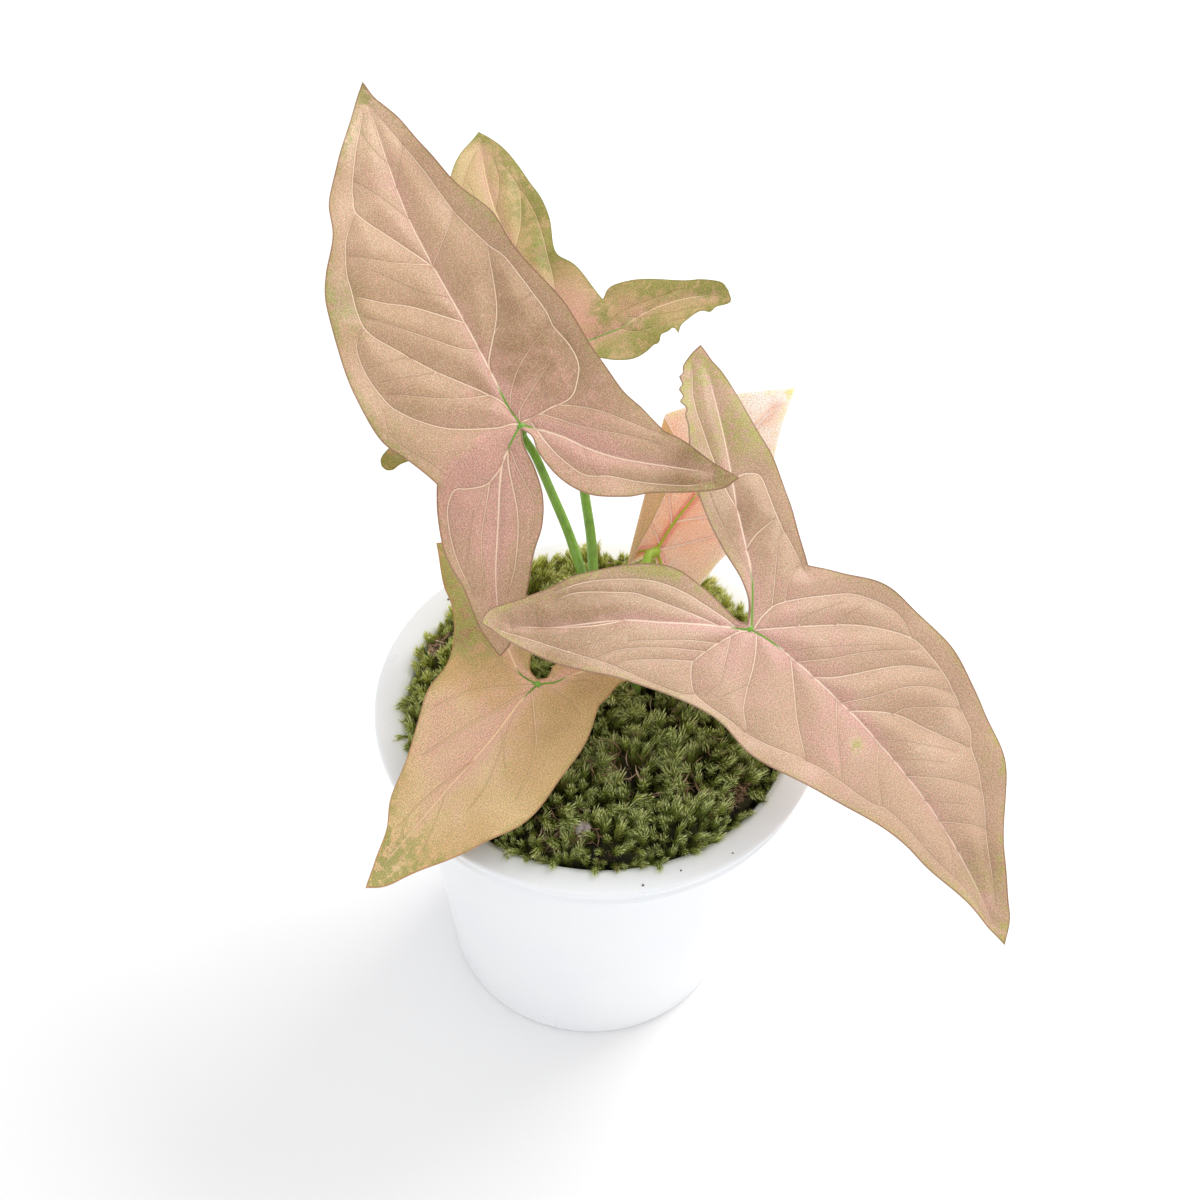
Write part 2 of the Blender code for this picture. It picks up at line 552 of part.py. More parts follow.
def stalk_path(leaf):
    """The middle line of a leaf's stalk, from its foot in the soil to the blade."""
    to_tip, _, upper = leaf_axes(leaf)
    junction = np.array(leaf["junction"])
    seat = BLADE_THICKNESS / 2.0 + RIB_HEIGHT + HOLE_CLEARANCE
    neck = junction - STALK_NECK_DROP * upper - STALK_NECK_BACK * to_tip
    top = junction - seat * upper - STALK_TOP_BACK * to_tip
    foot_x, foot_y = leaf["foot"]
    foot = (foot_x, foot_y, STALK_FOOT)
    lower = (foot_x, foot_y, MOSS_EDGE)
    upper_knots = smooth_run([lower] + leaf["stalk"] + [tuple(neck), tuple(top)], STALK_STEP)
    return np.vstack([np.array([foot]), upper_knots])


def build_stalk(name, leaf):
    """A round stalk that thins towards the blade."""
    path = stalk_path(leaf)
    ahead = np.gradient(path, axis=0)
    _, _, upper = leaf_axes(leaf)
    ahead[0] = (0.0, 0.0, 1.0)
    ahead[1] = (0.0, 0.0, 1.0)
    ahead[-1] = upper
    share = np.linspace(0.0, 1.0, len(path))
    radii = STALK_BASE_RADIUS + (STALK_TOP_RADIUS - STALK_BASE_RADIUS) * share
    side = np.array([1.0, 0.0, 0.0])
    points = []
    for centre, way, radius in zip(path, ahead, radii):
        way = way / np.linalg.norm(way)
        side = side - way * (side @ way)
        side = side / np.linalg.norm(side)
        other = np.cross(way, side)
        for turn in np.arange(STALK_SIDES) * 2.0 * math.pi / STALK_SIDES:
            points.append(centre + radius * (math.cos(turn) * side + math.sin(turn) * other))
    faces = []
    for ring in range(len(path) - 1):
        for i in range(STALK_SIDES):
            j = (i + 1) % STALK_SIDES
            a, b = ring * STALK_SIDES + i, ring * STALK_SIDES + j
            faces.append((a, b, b + STALK_SIDES, a + STALK_SIDES))
    last = (len(path) - 1) * STALK_SIDES
    faces.append(tuple(reversed(range(STALK_SIDES))))
    faces.append(tuple(range(last, last + STALK_SIDES)))
    return make_object(f"{name}_stalk", points, faces, leaf["stalk_material"])


def lathe(name, profile, segments, finish):
    """Turn a profile that starts and ends on the axis round +Z."""
    rings = profile[1:-1]
    points = [(0.0, 0.0, profile[0][1])]
    for radius, height in rings:
        for turn in np.arange(segments) * 2.0 * math.pi / segments:
            points.append((radius * math.cos(turn), radius * math.sin(turn), height))
    points.append((0.0, 0.0, profile[-1][1]))
    faces = []
    for i in range(segments):
        j = (i + 1) % segments
        faces.append((0, 1 + j, 1 + i))
        for ring in range(len(rings) - 1):
            a, b = 1 + ring * segments + i, 1 + ring * segments + j
            faces.append((a, b, b + segments, a + segments))
        start = 1 + (len(rings) - 1) * segments
        faces.append((start + i, start + j, len(points) - 1))
    return make_object(name, points, faces, finish)


def wall_radius(height):
    """The pot's outer radius on its plain tapered side."""
    shoulder = POT_HEIGHT - POT_COLLAR_HEIGHT
    return POT_BASE_RADIUS + (POT_SHOULDER_RADIUS - POT_BASE_RADIUS) * height / shoulder


def pot_profile():
    """The pot's section: underside, wall, rolled collar, mouth, inside and floor."""
    collar_foot = POT_HEIGHT - POT_COLLAR_HEIGHT
    rim, mouth = POT_RIM_RADIUS, POT_MOUTH_RADIUS
    base = POT_BASE_RADIUS
    outside = [(0.0, 0.0), (base - 1.6, 0.0), (base - 0.4, 0.5), (base + 0.2, 2.0),
               (wall_radius(POT_MID_HEIGHT), POT_MID_HEIGHT), (POT_SHOULDER_RADIUS, collar_foot)]
    collar = [(rim - 3.0, collar_foot), (rim - 2.2, collar_foot + 0.5), (rim - 2.0, collar_foot + 1.3),
              (rim - 2.4, collar_foot + 2.4), (rim - 1.9, collar_foot + 4.2),
              (rim - 0.7, collar_foot + 5.8), (rim, POT_HEIGHT - 0.8), (rim - 0.5, POT_HEIGHT - 0.2),
              (rim - 1.8, POT_HEIGHT), (mouth + 1.6, POT_HEIGHT), (mouth + 0.4, POT_HEIGHT - 0.4),
              (mouth, POT_HEIGHT - 1.6)]
    inside_wall = [(inner_radius(collar_foot), collar_foot),
                   (inner_radius(POT_MID_HEIGHT), POT_MID_HEIGHT),
                   (inner_radius(POT_FLOOR), POT_FLOOR), (0.0, POT_FLOOR)]
    return outside + collar + inside_wall


def inner_radius(height):
    """The pot's inner radius below the mouth."""
    return wall_radius(height) - POT_WALL


def build_soil():
    """The soil that fills the pot, with a blind hole for each stalk."""
    low = POT_FLOOR + SEAT_GAP
    profile = [(0.0, low), (inner_radius(low) - SEAT_GAP, low),
               (inner_radius(SOIL_TOP) - SEAT_GAP, SOIL_TOP), (0.0, SOIL_TOP)]
    soil = lathe("soil", profile, POT_SEGMENTS, DARK_SOIL)
    drill(soil, STALK_FOOT - SEAT_GAP, SOIL_TOP + HOLE_OVERRUN)
    return soil


def moss_radius():
    """The moss's outer radius, just inside the pot's mouth."""
    return inner_radius(POT_HEIGHT - POT_COLLAR_HEIGHT) - SEAT_GAP


def moss_height(radius, turn):
    """The lumpy top of the moss cushion."""
    share = min(radius / moss_radius(), 1.0)
    dome = (MOSS_CROWN - MOSS_EDGE) * math.sqrt(1.0 - share ** 2)
    x, y = radius * math.cos(turn), radius * math.sin(turn)
    wide, deep, small = MOSS_LUMP_WIDTHS
    lumps = math.sin(x / wide + 0.7) * math.cos(y / deep - 0.4) + 0.6 * math.sin((x - y) / small)
    return MOSS_EDGE + dome + MOSS_LUMP * lumps * (1.0 - 0.5 * share)


def build_moss():
    """The cushion of moss on the soil, with a hole right through for each stalk."""
    low = SOIL_TOP + SEAT_GAP
    foot_radius = inner_radius(low) - SEAT_GAP
    edge_radius = moss_radius()
    side_rings = [(foot_radius, low), (edge_radius, MOSS_EDGE - MOSS_SIDE)]
    points = [(0.0, 0.0, low)]
    turns = np.arange(MOSS_SEGMENTS) * 2.0 * math.pi / MOSS_SEGMENTS
    for radius, height in side_rings:
        points += [(radius * math.cos(t), radius * math.sin(t), height) for t in turns]
    for ring in range(MOSS_RINGS, 0, -1):
        radius = edge_radius * ring / MOSS_RINGS
        for t in turns:
            points.append((radius * math.cos(t), radius * math.sin(t), moss_height(radius, t)))
    points.append((0.0, 0.0, moss_height(0.0, 0.0)))
    rows = MOSS_RINGS + len(side_rings)
    faces = []
    for i in range(MOSS_SEGMENTS):
        j = (i + 1) % MOSS_SEGMENTS
        faces.append((0, 1 + j, 1 + i))
        for row in range(rows - 1):
            a, b = 1 + row * MOSS_SEGMENTS + i, 1 + row * MOSS_SEGMENTS + j
            faces += [(a, b, b + MOSS_SEGMENTS), (a, b + MOSS_SEGMENTS, a + MOSS_SEGMENTS)]
        start = 1 + (rows - 1) * MOSS_SEGMENTS
        faces.append((start + i, start + j, len(points) - 1))
    moss = make_object("moss", points, faces, GREEN_MOSS)
    drill(moss, SOIL_TOP - HOLE_OVERRUN, MOSS_CROWN + HOLE_OVERRUN)
    return moss


def drill(thing, low, high):
    """Cut a round hole for every stalk, from one height to another."""
    for name, leaf in LEAVES.items():
        cutter_mesh = bpy.data.meshes.new(f"{name}_hole")
        shape = bmesh.new()
        radius = (STALK_BASE_RADIUS + HOLE_CLEARANCE) * MM
        bmesh.ops.create_cone(shape, cap_ends=True, segments=HOLE_SIDES, radius1=radius,
                              radius2=radius, depth=(high - low) * MM)
        shape.to_mesh(cutter_mesh)
        shape.free()
        cutter = bpy.data.objects.new(f"{thing.name}_{name}_hole", cutter_mesh)
        cutter.location = (leaf["foot"][0] * MM, leaf["foot"][1] * MM, (low + high) / 2.0 * MM)
        cutter.hide_render = True
        cutter.display_type = "WIRE"
        bpy.context.scene.collection.objects.link(cutter)
        hole = thing.modifiers.new(f"{name}_hole", "BOOLEAN")
        hole.operation = "DIFFERENCE"
        hole.object = cutter


def build_plant():
    """The pot, its filling and the five leaves."""
    lathe("pot", pot_profile(), POT_SEGMENTS, WHITE_PLASTIC)
    build_soil()
    build_moss()
    for name, leaf in LEAVES.items():
        build_stalk(name, leaf)
        build_blade(name, leaf)


clear_scene()
build_plant()
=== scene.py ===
# %% [markdown]
# # An arrowhead plant in a white pot
#
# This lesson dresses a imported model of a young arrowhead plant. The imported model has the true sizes, and
# each step here takes one of its plain solids and makes the finer piece that is seen in its place: the
# pot, the moss, the five leaves and their stalks. It ends with a pale floor, soft light and a camera.
#
# Lengths are worked out in millimetres, because leaves and moss are easier to think about that way, and
# they are turned into metres when a mesh is made.

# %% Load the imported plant
import math

import bpy
import numpy as np
from mathutils import Matrix, Vector
from mathutils import geometry
from mathutils.kdtree import KDTree


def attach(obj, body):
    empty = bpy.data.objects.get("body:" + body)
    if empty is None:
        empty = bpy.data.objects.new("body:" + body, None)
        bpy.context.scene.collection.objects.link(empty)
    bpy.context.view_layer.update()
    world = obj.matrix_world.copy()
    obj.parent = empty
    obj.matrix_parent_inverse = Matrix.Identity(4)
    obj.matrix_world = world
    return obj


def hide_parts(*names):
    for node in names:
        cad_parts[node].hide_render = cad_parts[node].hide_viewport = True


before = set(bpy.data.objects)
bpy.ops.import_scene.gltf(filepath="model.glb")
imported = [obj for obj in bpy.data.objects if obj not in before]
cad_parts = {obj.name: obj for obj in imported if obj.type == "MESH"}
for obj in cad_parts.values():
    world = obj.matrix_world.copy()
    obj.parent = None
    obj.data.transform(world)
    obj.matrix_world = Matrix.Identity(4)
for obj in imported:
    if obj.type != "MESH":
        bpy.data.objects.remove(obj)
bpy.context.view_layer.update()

MM = 0.001
BODY = "root"
print("nodes:", ", ".join(sorted(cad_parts)))

# %% [markdown]
# ## The camera
#
# The photograph looks down on the plant at about 50 degrees with a long lens, and is turned a little. The
# camera's place and turn were worked out from the ovals of the pot's rim, so the plant is seen from the
# photograph's own place. `aimed_camera` builds the turn from three directions: right, up and back.

# %% Set up the camera
CAMERA_PLACE = (-1.06, -458.25, 703.72)
CAMERA_DOWN = 49.98
CAMERA_TILT = 2.5
CAMERA_LENS = 78.27


def aimed_camera(place, down, tilt, lens):
    """A camera that looks along +Y and down, turned by a small tilt."""
    down, tilt = math.radians(down), math.radians(tilt)
    ahead = Vector((0.0, math.cos(down), -math.sin(down)))
    level_right = Vector((1.0, 0.0, 0.0))
    level_up = Vector((0.0, math.sin(down), math.cos(down)))
    right = math.cos(tilt) * level_right + math.sin(tilt) * level_up
    up = math.cos(tilt) * level_up - math.sin(tilt) * level_right
    camera = bpy.data.objects.new("camera", bpy.data.cameras.new("camera"))
    camera.data.lens = lens
    camera.data.sensor_width = 36.0
    camera.data.clip_start = 0.01
    turn = Matrix((right, up, -ahead)).transposed()
    camera.matrix_world = Matrix.Translation(Vector(place) * MM) @ turn.to_4x4()
    bpy.context.scene.collection.objects.link(camera)
    return camera


camera = aimed_camera(CAMERA_PLACE, CAMERA_DOWN, CAMERA_TILT, CAMERA_LENS)
bpy.context.scene.camera = camera
print("camera at", [round(c, 3) for c in camera.location])

# %% [markdown]
# ## Tools for meshes and finishes
#
# Every piece is made from a list of points and a list of faces, so one helper turns those into an object that
# rides on the plant's body and hides the imported solid it stands for. Numbers that belong to a point, such
# as its distance to the nearest vein, are stored with the mesh. The finishes read them.
#
# A finish is a small web of nodes. The class below keeps the making of one short: each of its calls adds
# a node and gives back the socket that the next call needs.

# %% A helper that makes a piece
def make_piece(name, points, faces, finishes, stands_for=None, smooth=True, facts=None,
               which=None):
    """An object from points in millimetres. facts are numbers for each point, which picks the finishes."""
    mesh = bpy.data.meshes.new(name)
    places = np.asarray(points, float) * MM
    mesh.from_pydata(places.tolist(), [], faces)
    for finish in finishes:
        mesh.materials.append(finish)
    if which is not None:
        mesh.polygons.foreach_set("material_index", np.asarray(which, np.int32))
    mesh.polygons.foreach_set("use_smooth", np.full(len(mesh.polygons), smooth))
    for fact, values in (facts or {}).items():
        values = np.asarray(values, np.float32)
        kind = "FLOAT" if values.ndim == 1 else "FLOAT_VECTOR"
        held = mesh.attributes.new(fact, kind, "POINT")
        held.data.foreach_set("value" if kind == "FLOAT" else "vector", values.ravel())
    mesh.update()
    piece = bpy.data.objects.new(name, mesh)
    bpy.context.scene.collection.objects.link(piece)
    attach(piece, BODY)
    if stands_for:
        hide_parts(stands_for)
    print(f"{name}: {len(mesh.polygons)} faces")
    return piece


# %% A helper that makes a finish
class Finish:
    """A material in the making. Each call adds one node and returns its result's socket."""

    def __init__(self, name, roughness, **settings):
        self.material = bpy.data.materials.new(name)
        self.material.use_nodes = True
        self.nodes = self.material.node_tree.nodes
        self.links = self.material.node_tree.links
        self.shader = self.nodes["Principled BSDF"]
        self.shader.inputs["Roughness"].default_value = roughness
        for socket, value in settings.items():
            self.shader.inputs[socket.replace("_", " ")].default_value = value

    def feed(self, socket, value):
        """Put a number, a colour or another node's result into a socket."""
        if isinstance(value, bpy.types.NodeSocket):
            self.links.new(value, socket)
        elif isinstance(value, tuple) and len(value) == 3 and socket.type == "RGBA":
            socket.default_value = (*value, 1.0)
        else:
            socket.default_value = value

    def fact(self, name):
        """A number or a place stored with the mesh."""
        node = self.nodes.new("ShaderNodeAttribute")
        node.attribute_name = name
        return node.outputs["Vector" if name == "drawing" else "Fac"]

    def place(self):
        """Where a point is on the plant, in metres."""
        return self.nodes.new("ShaderNodeTexCoord").outputs["Object"]

    def stretched(self, place, scale):
        """A place with each direction scaled, to draw a pattern out."""
        node = self.nodes.new("ShaderNodeMapping")
        self.feed(node.inputs["Vector"], place)
        node.inputs["Scale"].default_value = scale
        return node.outputs["Vector"]

    def noise(self, place, scale, detail=3.0, rough=0.55):
        """A cloudy pattern, from about 0 to 1."""
        node = self.nodes.new("ShaderNodeTexNoise")
        self.feed(node.inputs["Vector"], place)
        node.inputs["Scale"].default_value = scale
        node.inputs["Detail"].default_value = detail
        node.inputs["Roughness"].default_value = rough
        return node.outputs["Fac"]

    def cells(self, place, scale, feature="DISTANCE_TO_EDGE"):
        """A net of cells: the distance to the nearest cell wall or cell centre."""
        node = self.nodes.new("ShaderNodeTexVoronoi")
        node.feature = feature
        self.feed(node.inputs["Vector"], place)
        node.inputs["Scale"].default_value = scale
        return node.outputs["Distance"]

    def maths(self, operation, *values):
        """A sum, product or the like of numbers."""
        node = self.nodes.new("ShaderNodeMath")
        node.operation = operation
        for socket, value in zip(node.inputs, values):
            self.feed(socket, value)
        return node.outputs["Value"]

    def eased(self, value, start, end, low=0.0, high=1.0):
        """Go softly from low to high while the value goes from start to end."""
        node = self.nodes.new("ShaderNodeMapRange")
        node.interpolation_type = "SMOOTHSTEP"
        for socket, number in zip(node.inputs, (value, start, end, low, high)):
            self.feed(socket, number)
        return node.outputs["Result"]

    def mixed(self, share, first, second):
        """Two colours laid over each other."""
        node = self.nodes.new("ShaderNodeMix")
        node.data_type = "RGBA"
        self.feed(node.inputs["Factor"], share)
        self.feed(node.inputs[6], first)
        self.feed(node.inputs[7], second)
        return node.outputs[2]

    def scaled(self, colour, value):
        """A colour made lighter or darker by a number."""
        node = self.nodes.new("ShaderNodeVectorMath")
        node.operation = "SCALE"
        self.feed(node.inputs[0], colour)
        self.feed(node.inputs["Scale"], value)
        return node.outputs["Vector"]

    def bump(self, height, strength, distance, under=None):
        """A relief in the finish. distance is the height in millimetres that 1 stands for."""
        node = self.nodes.new("ShaderNodeBump")
        node.inputs["Strength"].default_value = strength
        node.inputs["Distance"].default_value = distance * MM
        self.feed(node.inputs["Height"], height)
        if under is not None:
            self.feed(node.inputs["Normal"], under)
        return node.outputs["Normal"]

    def finished(self, colour=None, roughness=None, normal=None):
        """Join the results to the surface and give back the material."""
        for name, value in (("Base Color", colour), ("Roughness", roughness), ("Normal", normal)):
            if value is not None:
                self.feed(self.shader.inputs[name], value)
        return self.material


# %% [markdown]
# ## The pot
#
# The real pot is blown or pressed from white plastic with a satin shine. Its top is folded outwards into
# a hollow collar: a rounded lip, a flat top that slopes very little, a fine groove, and a small bead at
# the collar's foot. A turned profile is the natural way to make it, and all the skill goes into the
# profile. Here it is drawn as corners with a rounding for each, and `rounded` replaces every corner by a
# short curve.

# %% Draw the pot's profile
POT_HEIGHT = 110.0
POT_RIM = 65.0
POT_MOUTH = 54.8
POT_COLLAR_HEIGHT = 7.4
POT_SHOULDER = 55.0
POT_BASE = 42.3
POT_WALL = 2.0
POT_FLOOR = 3.0
CORNER_STEPS = 5


def rounded(corners):
    """A line through the corners, each eased by its own rounding, given as (radius, height, rounding)."""
    line = []
    for i, (x, z, rounding) in enumerate(corners):
        here = np.array([x, z])
        if rounding == 0 or i in (0, len(corners) - 1):
            line.append(here)
            continue
        before = np.array(corners[i - 1][:2]) - here
        after = np.array(corners[i + 1][:2]) - here
        reach = min(rounding, np.linalg.norm(before) / 2.0, np.linalg.norm(after) / 2.0)
        start = here + before / np.linalg.norm(before) * reach
        end = here + after / np.linalg.norm(after) * reach
        for t in np.linspace(0.0, 1.0, CORNER_STEPS):
            line.append((1 - t) ** 2 * start + 2 * t * (1 - t) * here + t * t * end)
    return np.array(line)


def pot_wall(height):
    """The pot's outer radius on its tapered side."""
    return POT_BASE + (POT_SHOULDER - POT_BASE) * height / (POT_HEIGHT - POT_COLLAR_HEIGHT)


def pot_corners():
    """The pot's section, from the middle of its underside round to the middle of its floor."""
    foot = POT_HEIGHT - POT_COLLAR_HEIGHT
    outside = [(0.0, 0.0, 0), (POT_BASE - 6.0, 0.0, 1.0), (POT_BASE - 5.4, 0.6, 0.5),
               (POT_BASE - 4.6, 0.6, 0.5), (POT_BASE - 4.0, 0.0, 1.0), (POT_BASE, 0.0, 1.8),
               (pot_wall(30.0), 30.0, 4.0), (pot_wall(70.0), 70.0, 4.0), (POT_SHOULDER, foot, 0.9)]
    collar = [(POT_RIM - 2.8, foot, 0.8), (POT_RIM - 2.0, foot + 0.7, 0.6), (POT_RIM - 2.0, foot + 1.5, 0.5),
              (POT_RIM - 2.6, foot + 2.3, 0.6), (POT_RIM - 1.9, foot + 4.2, 2.0),
              (POT_RIM, POT_HEIGHT, 2.2),
              (POT_MOUTH + 1.8, POT_HEIGHT - 0.2, 1.4), (POT_MOUTH, POT_HEIGHT - 1.6, 1.2)]
    inside = [(POT_SHOULDER - POT_WALL, foot, 1.5), (pot_wall(50.0) - POT_WALL, 50.0, 4.0),
              (pot_wall(POT_FLOOR) - POT_WALL, POT_FLOOR, 1.5), (0.0, POT_FLOOR, 0)]
    return outside + collar + inside


profile = rounded(pot_corners())
print("the profile has", len(profile), "points")

# %% [markdown]
# The white plastic is not a flat white. It is a little cool, lets light in a little way, carries fine upright
# draw marks from the mould, and a few grains of soil dust lie on it in patches. The marks are a noise that is
# squeezed round the pot and stretched along its height.

# %% Mix the white plastic
def white_plastic():
    """Satin white plastic with faint draw marks and dust."""
    look = Finish("white_plastic_satin", 0.3, Specular_IOR_Level=0.5, Subsurface_Weight=0.12,
                  Subsurface_Scale=0.002, Subsurface_Radius=(1.0, 1.0, 1.0))
    place = look.place()
    marks = look.noise(look.stretched(place, (900.0, 900.0, 18.0)), 1.0, 3.0)
    clouds = look.noise(place, 28.0, 3.0)
    colour = look.mixed(look.eased(clouds, 0.3, 0.7), (0.88, 0.9, 0.93), (0.91, 0.92, 0.935))
    colour = look.mixed(look.eased(marks, 0.62, 0.8, 0.0, 0.25), colour, (0.84, 0.865, 0.9))
    grains = look.noise(place, 1400.0, 1.0)
    patch = look.noise(place, 60.0, 1.0)
    dust = look.maths("MULTIPLY", look.eased(grains, 0.74, 0.78), look.eased(patch, 0.55, 0.68))
    colour = look.mixed(look.maths("MULTIPLY", dust, 0.55), colour, (0.45, 0.38, 0.3))
    roughness = look.eased(clouds, 0.2, 0.8, 0.26, 0.36)
    fine = look.noise(place, 260.0, 2.0)
    normal = look.bump(marks, 0.12, 0.05, look.bump(fine, 0.05, 0.1))
    return look.finished(colour, roughness, normal)


# %% Turn the pot
POT_SIDES = 160


def ring_faces(rings, sides):
    """Faces of a stack of rings, closed by one point before the first and one after the last."""
    faces, last = [], rings * sides + 1
    for i in range(sides):
        j = (i + 1) % sides
        faces.append((0, 1 + j, 1 + i))
        for ring in range(rings - 1):
            a, b = 1 + ring * sides + i, 1 + ring * sides + j
            faces.append((a, b, b + sides, a + sides))
        faces.append((last - sides + i, last - sides + j, last))
    return faces


def turned(profile, sides):
    """Points and faces of a profile that starts and ends on the axis, turned round +Z."""
    turns = np.arange(sides) * 2.0 * math.pi / sides
    round_about = np.stack([np.cos(turns), np.sin(turns)], axis=1)
    rings = [np.column_stack([round_about * radius, np.full(sides, height)])
             for radius, height in profile[1:-1]]
    points = np.vstack([[(0.0, 0.0, profile[0][1])], *rings, [(0.0, 0.0, profile[-1][1])]])
    return points, ring_faces(len(rings), sides)


pot_points, pot_faces = turned(profile, POT_SIDES)
make_piece("pot_turned", pot_points, pot_faces, [white_plastic()], "pot")

# %% [markdown]
# ## The soil
#
# Nothing of the soil shows once the moss is on, but a part is looked at from all sides and taken apart,
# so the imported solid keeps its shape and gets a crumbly, peaty finish.

# %% Give the soil its finish
def peaty_soil():
    """Dark crumbs with lighter bits of fibre."""
    look = Finish("peaty_soil_crumbs", 0.95)
    place = look.place()
    crumbs = look.cells(place, 420.0, "F1")
    clouds = look.noise(place, 120.0, 4.0)
    colour = look.mixed(look.eased(clouds, 0.35, 0.7), (0.022, 0.013, 0.008), (0.085, 0.052, 0.028))
    colour = look.mixed(look.eased(look.noise(place, 800.0), 0.64, 0.75), colour, (0.2, 0.14, 0.085))
    return look.finished(colour, None, look.bump(crumbs, 0.8, 1.2))


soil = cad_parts["soil"]
soil.material_slots[0].material = peaty_soil()
print("the soil keeps its packed shape:", len(soil.data.polygons), "faces")

# %% [markdown]
# ## The moss
#
# The moss is a cushion of thousands of leafy shoots that stand side by side, dark between and paler at the
# tips. A bumpy lump would never pass for it, so each shoot is built: a slim core with small pointed leaves
# set round it in a spiral. One shoot is drawn a few times with different bends, and every shoot on the
# cushion is one of those, turned and sized for its place.
#
# First comes the ground that the shoots stand in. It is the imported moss's shape, a little lower and darker,
# and heaped up on the far side, as in the photograph.

# %% Shape the ground under the shoots
MOSS_RADIUS = 52.7
MOSS_EDGE = 109.0
MOSS_CROWN = 121.0
MOSS_LOW = 97.0
MOSS_LUMP = 1.3
BACK_MOUND = 6.0
GROUND_DEPTH = 3.2
GROUND_RINGS = 34
GROUND_SIDES = 150


def moss_top(x, y):
    """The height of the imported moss's lumpy top, with the far side heaped a little higher."""
    share = np.minimum(np.hypot(x, y) / MOSS_RADIUS, 1.0)
    dome = (MOSS_CROWN - MOSS_EDGE) * np.sqrt(1.0 - share ** 2)
    lumps = np.sin(x / 5.3 + 0.7) * np.cos(y / 4.6 - 0.4) + 0.6 * np.sin((x - y) / 3.7)
    far_side = BACK_MOUND * np.exp(-((x - 4.0) / 26.0) ** 2 - ((y - 42.0) / 11.0) ** 2)
    return MOSS_EDGE + dome + MOSS_LUMP * lumps * (1.0 - 0.5 * share) + far_side


def moss_ground():
    """Points and faces of the ground, from its flat foot up to its crumbly top."""
    turns = np.arange(GROUND_SIDES) * 2.0 * math.pi / GROUND_SIDES
    across, along = np.cos(turns), np.sin(turns)
    rows = [np.column_stack([across * (MOSS_RADIUS - 0.8), along * (MOSS_RADIUS - 0.8),
                             np.full(GROUND_SIDES, MOSS_LOW)])]
    for ring in range(GROUND_RINGS, 0, -1):
        radius = MOSS_RADIUS * (ring / GROUND_RINGS) ** 0.8
        x, y = across * radius, along * radius
        crumbs = 0.5 * np.sin(x * 2.1 + 3.0 * np.sin(y)) * np.sin(y * 1.9 + 2.0 * np.sin(x))
        edge = 1.0 - 0.6 * (ring / GROUND_RINGS) ** 6
        rows.append(np.column_stack([x, y, moss_top(x, y) - GROUND_DEPTH * edge + crumbs]))
    crown = [(0.0, 0.0, float(moss_top(np.zeros(1), np.zeros(1))[0]) - GROUND_DEPTH)]
    return np.vstack([[(0.0, 0.0, MOSS_LOW)], *rows, crown]), ring_faces(len(rows), GROUND_SIDES)


def mossy_ground():
    """Dark humus between the shoots, with brown bits and a green bloom."""
    look = Finish("mossy_ground_humus", 0.95)
    place = look.place()
    patches = look.noise(place, 130.0, 4.0)
    colour = look.mixed(look.eased(patches, 0.4, 0.62), (0.022, 0.018, 0.008), (0.05, 0.05, 0.014))
    colour = look.mixed(look.eased(look.noise(place, 500.0), 0.6, 0.72), colour, (0.11, 0.065, 0.035))
    return look.finished(colour, None, look.bump(look.noise(place, 700.0, 4.0), 0.8, 1.0))


ground_points, ground_faces = moss_ground()
make_piece("moss_ground", ground_points, ground_faces, [mossy_ground()], "moss")

# %% [markdown]
# ### One shoot
#
# A shoot is drawn one unit long, standing up. Each small leaf is a sliver with four corners: two at its
# foot, one for its keel and one for its tip. That is a closed solid with four faces, which is as little as
# a solid can have, and thousands of them still render quickly. The number called tone runs from 0 at the
# shoot's root to 1 at its tip, and the finish turns it into colour.

# %% Draw the shoots
SHOOT_KINDS = 7
SHOOT_LEAVES = 42
GOLDEN_TURN = 2.39996
chance = np.random.default_rng(7)


def shoot_shape(kind):
    """Points, faces and tones of one shoot, with a bend of its own."""
    points, faces, tones = [], [], []
    for share, radius in ((0.0, 0.04), (0.3, 0.1), (0.62, 0.09), (1.0, 0.008)):
        for corner in range(4):
            turn = corner * math.pi / 2.0
            points.append((radius * math.cos(turn), radius * math.sin(turn), share * 0.96))
            tones.append(share * 0.7)
    for row in range(3):
        for corner in range(4):
            a, b = row * 4 + corner, row * 4 + (corner + 1) % 4
            faces.append((a, b, b + 4))
            faces.append((a, b + 4, a + 4))
    faces += [(2, 1, 0), (3, 2, 0), (12, 13, 14), (12, 14, 15)]
    for number in range(SHOOT_LEAVES):
        up = 0.08 + 0.8 * (number / SHOOT_LEAVES) ** 0.9
        turn = number * GOLDEN_TURN + chance.normal(0.0, 0.25)
        out = np.array([math.cos(turn), math.sin(turn), 0.0])
        side = np.array([-math.sin(turn), math.cos(turn), 0.0])
        plump = math.sin(math.pi * min(up + 0.12, 1.0)) ** 0.7
        length = 0.31 * chance.uniform(0.75, 1.25)
        foot = out * 0.045 + np.array([0.0, 0.0, up])
        tip = out * (0.06 + 0.2 * plump * chance.uniform(0.7, 1.3)) + np.array([0.0, 0.0, up + length])
        start = len(points)
        points += [foot + side * 0.035, foot - side * 0.035, foot + out * 0.045, tip]
        tones += [up * 0.62, up * 0.62, up * 0.7, min(up * 0.72 + 0.36, 1.0)]
        faces += [(start, start + 3, start + 2), (start + 2, start + 3, start + 1),
                  (start + 1, start + 3, start), (start, start + 2, start + 1)]
    points = np.array(points)
    way = kind * 2.0 * math.pi / SHOOT_KINDS
    bend = 0.1 + 0.3 * (kind % 3) / 2.0
    points[:, 0] += bend * math.cos(way) * points[:, 2] ** 2
    points[:, 1] += bend * math.sin(way) * points[:, 2] ** 2
    return points, np.array(faces), np.array(tones)


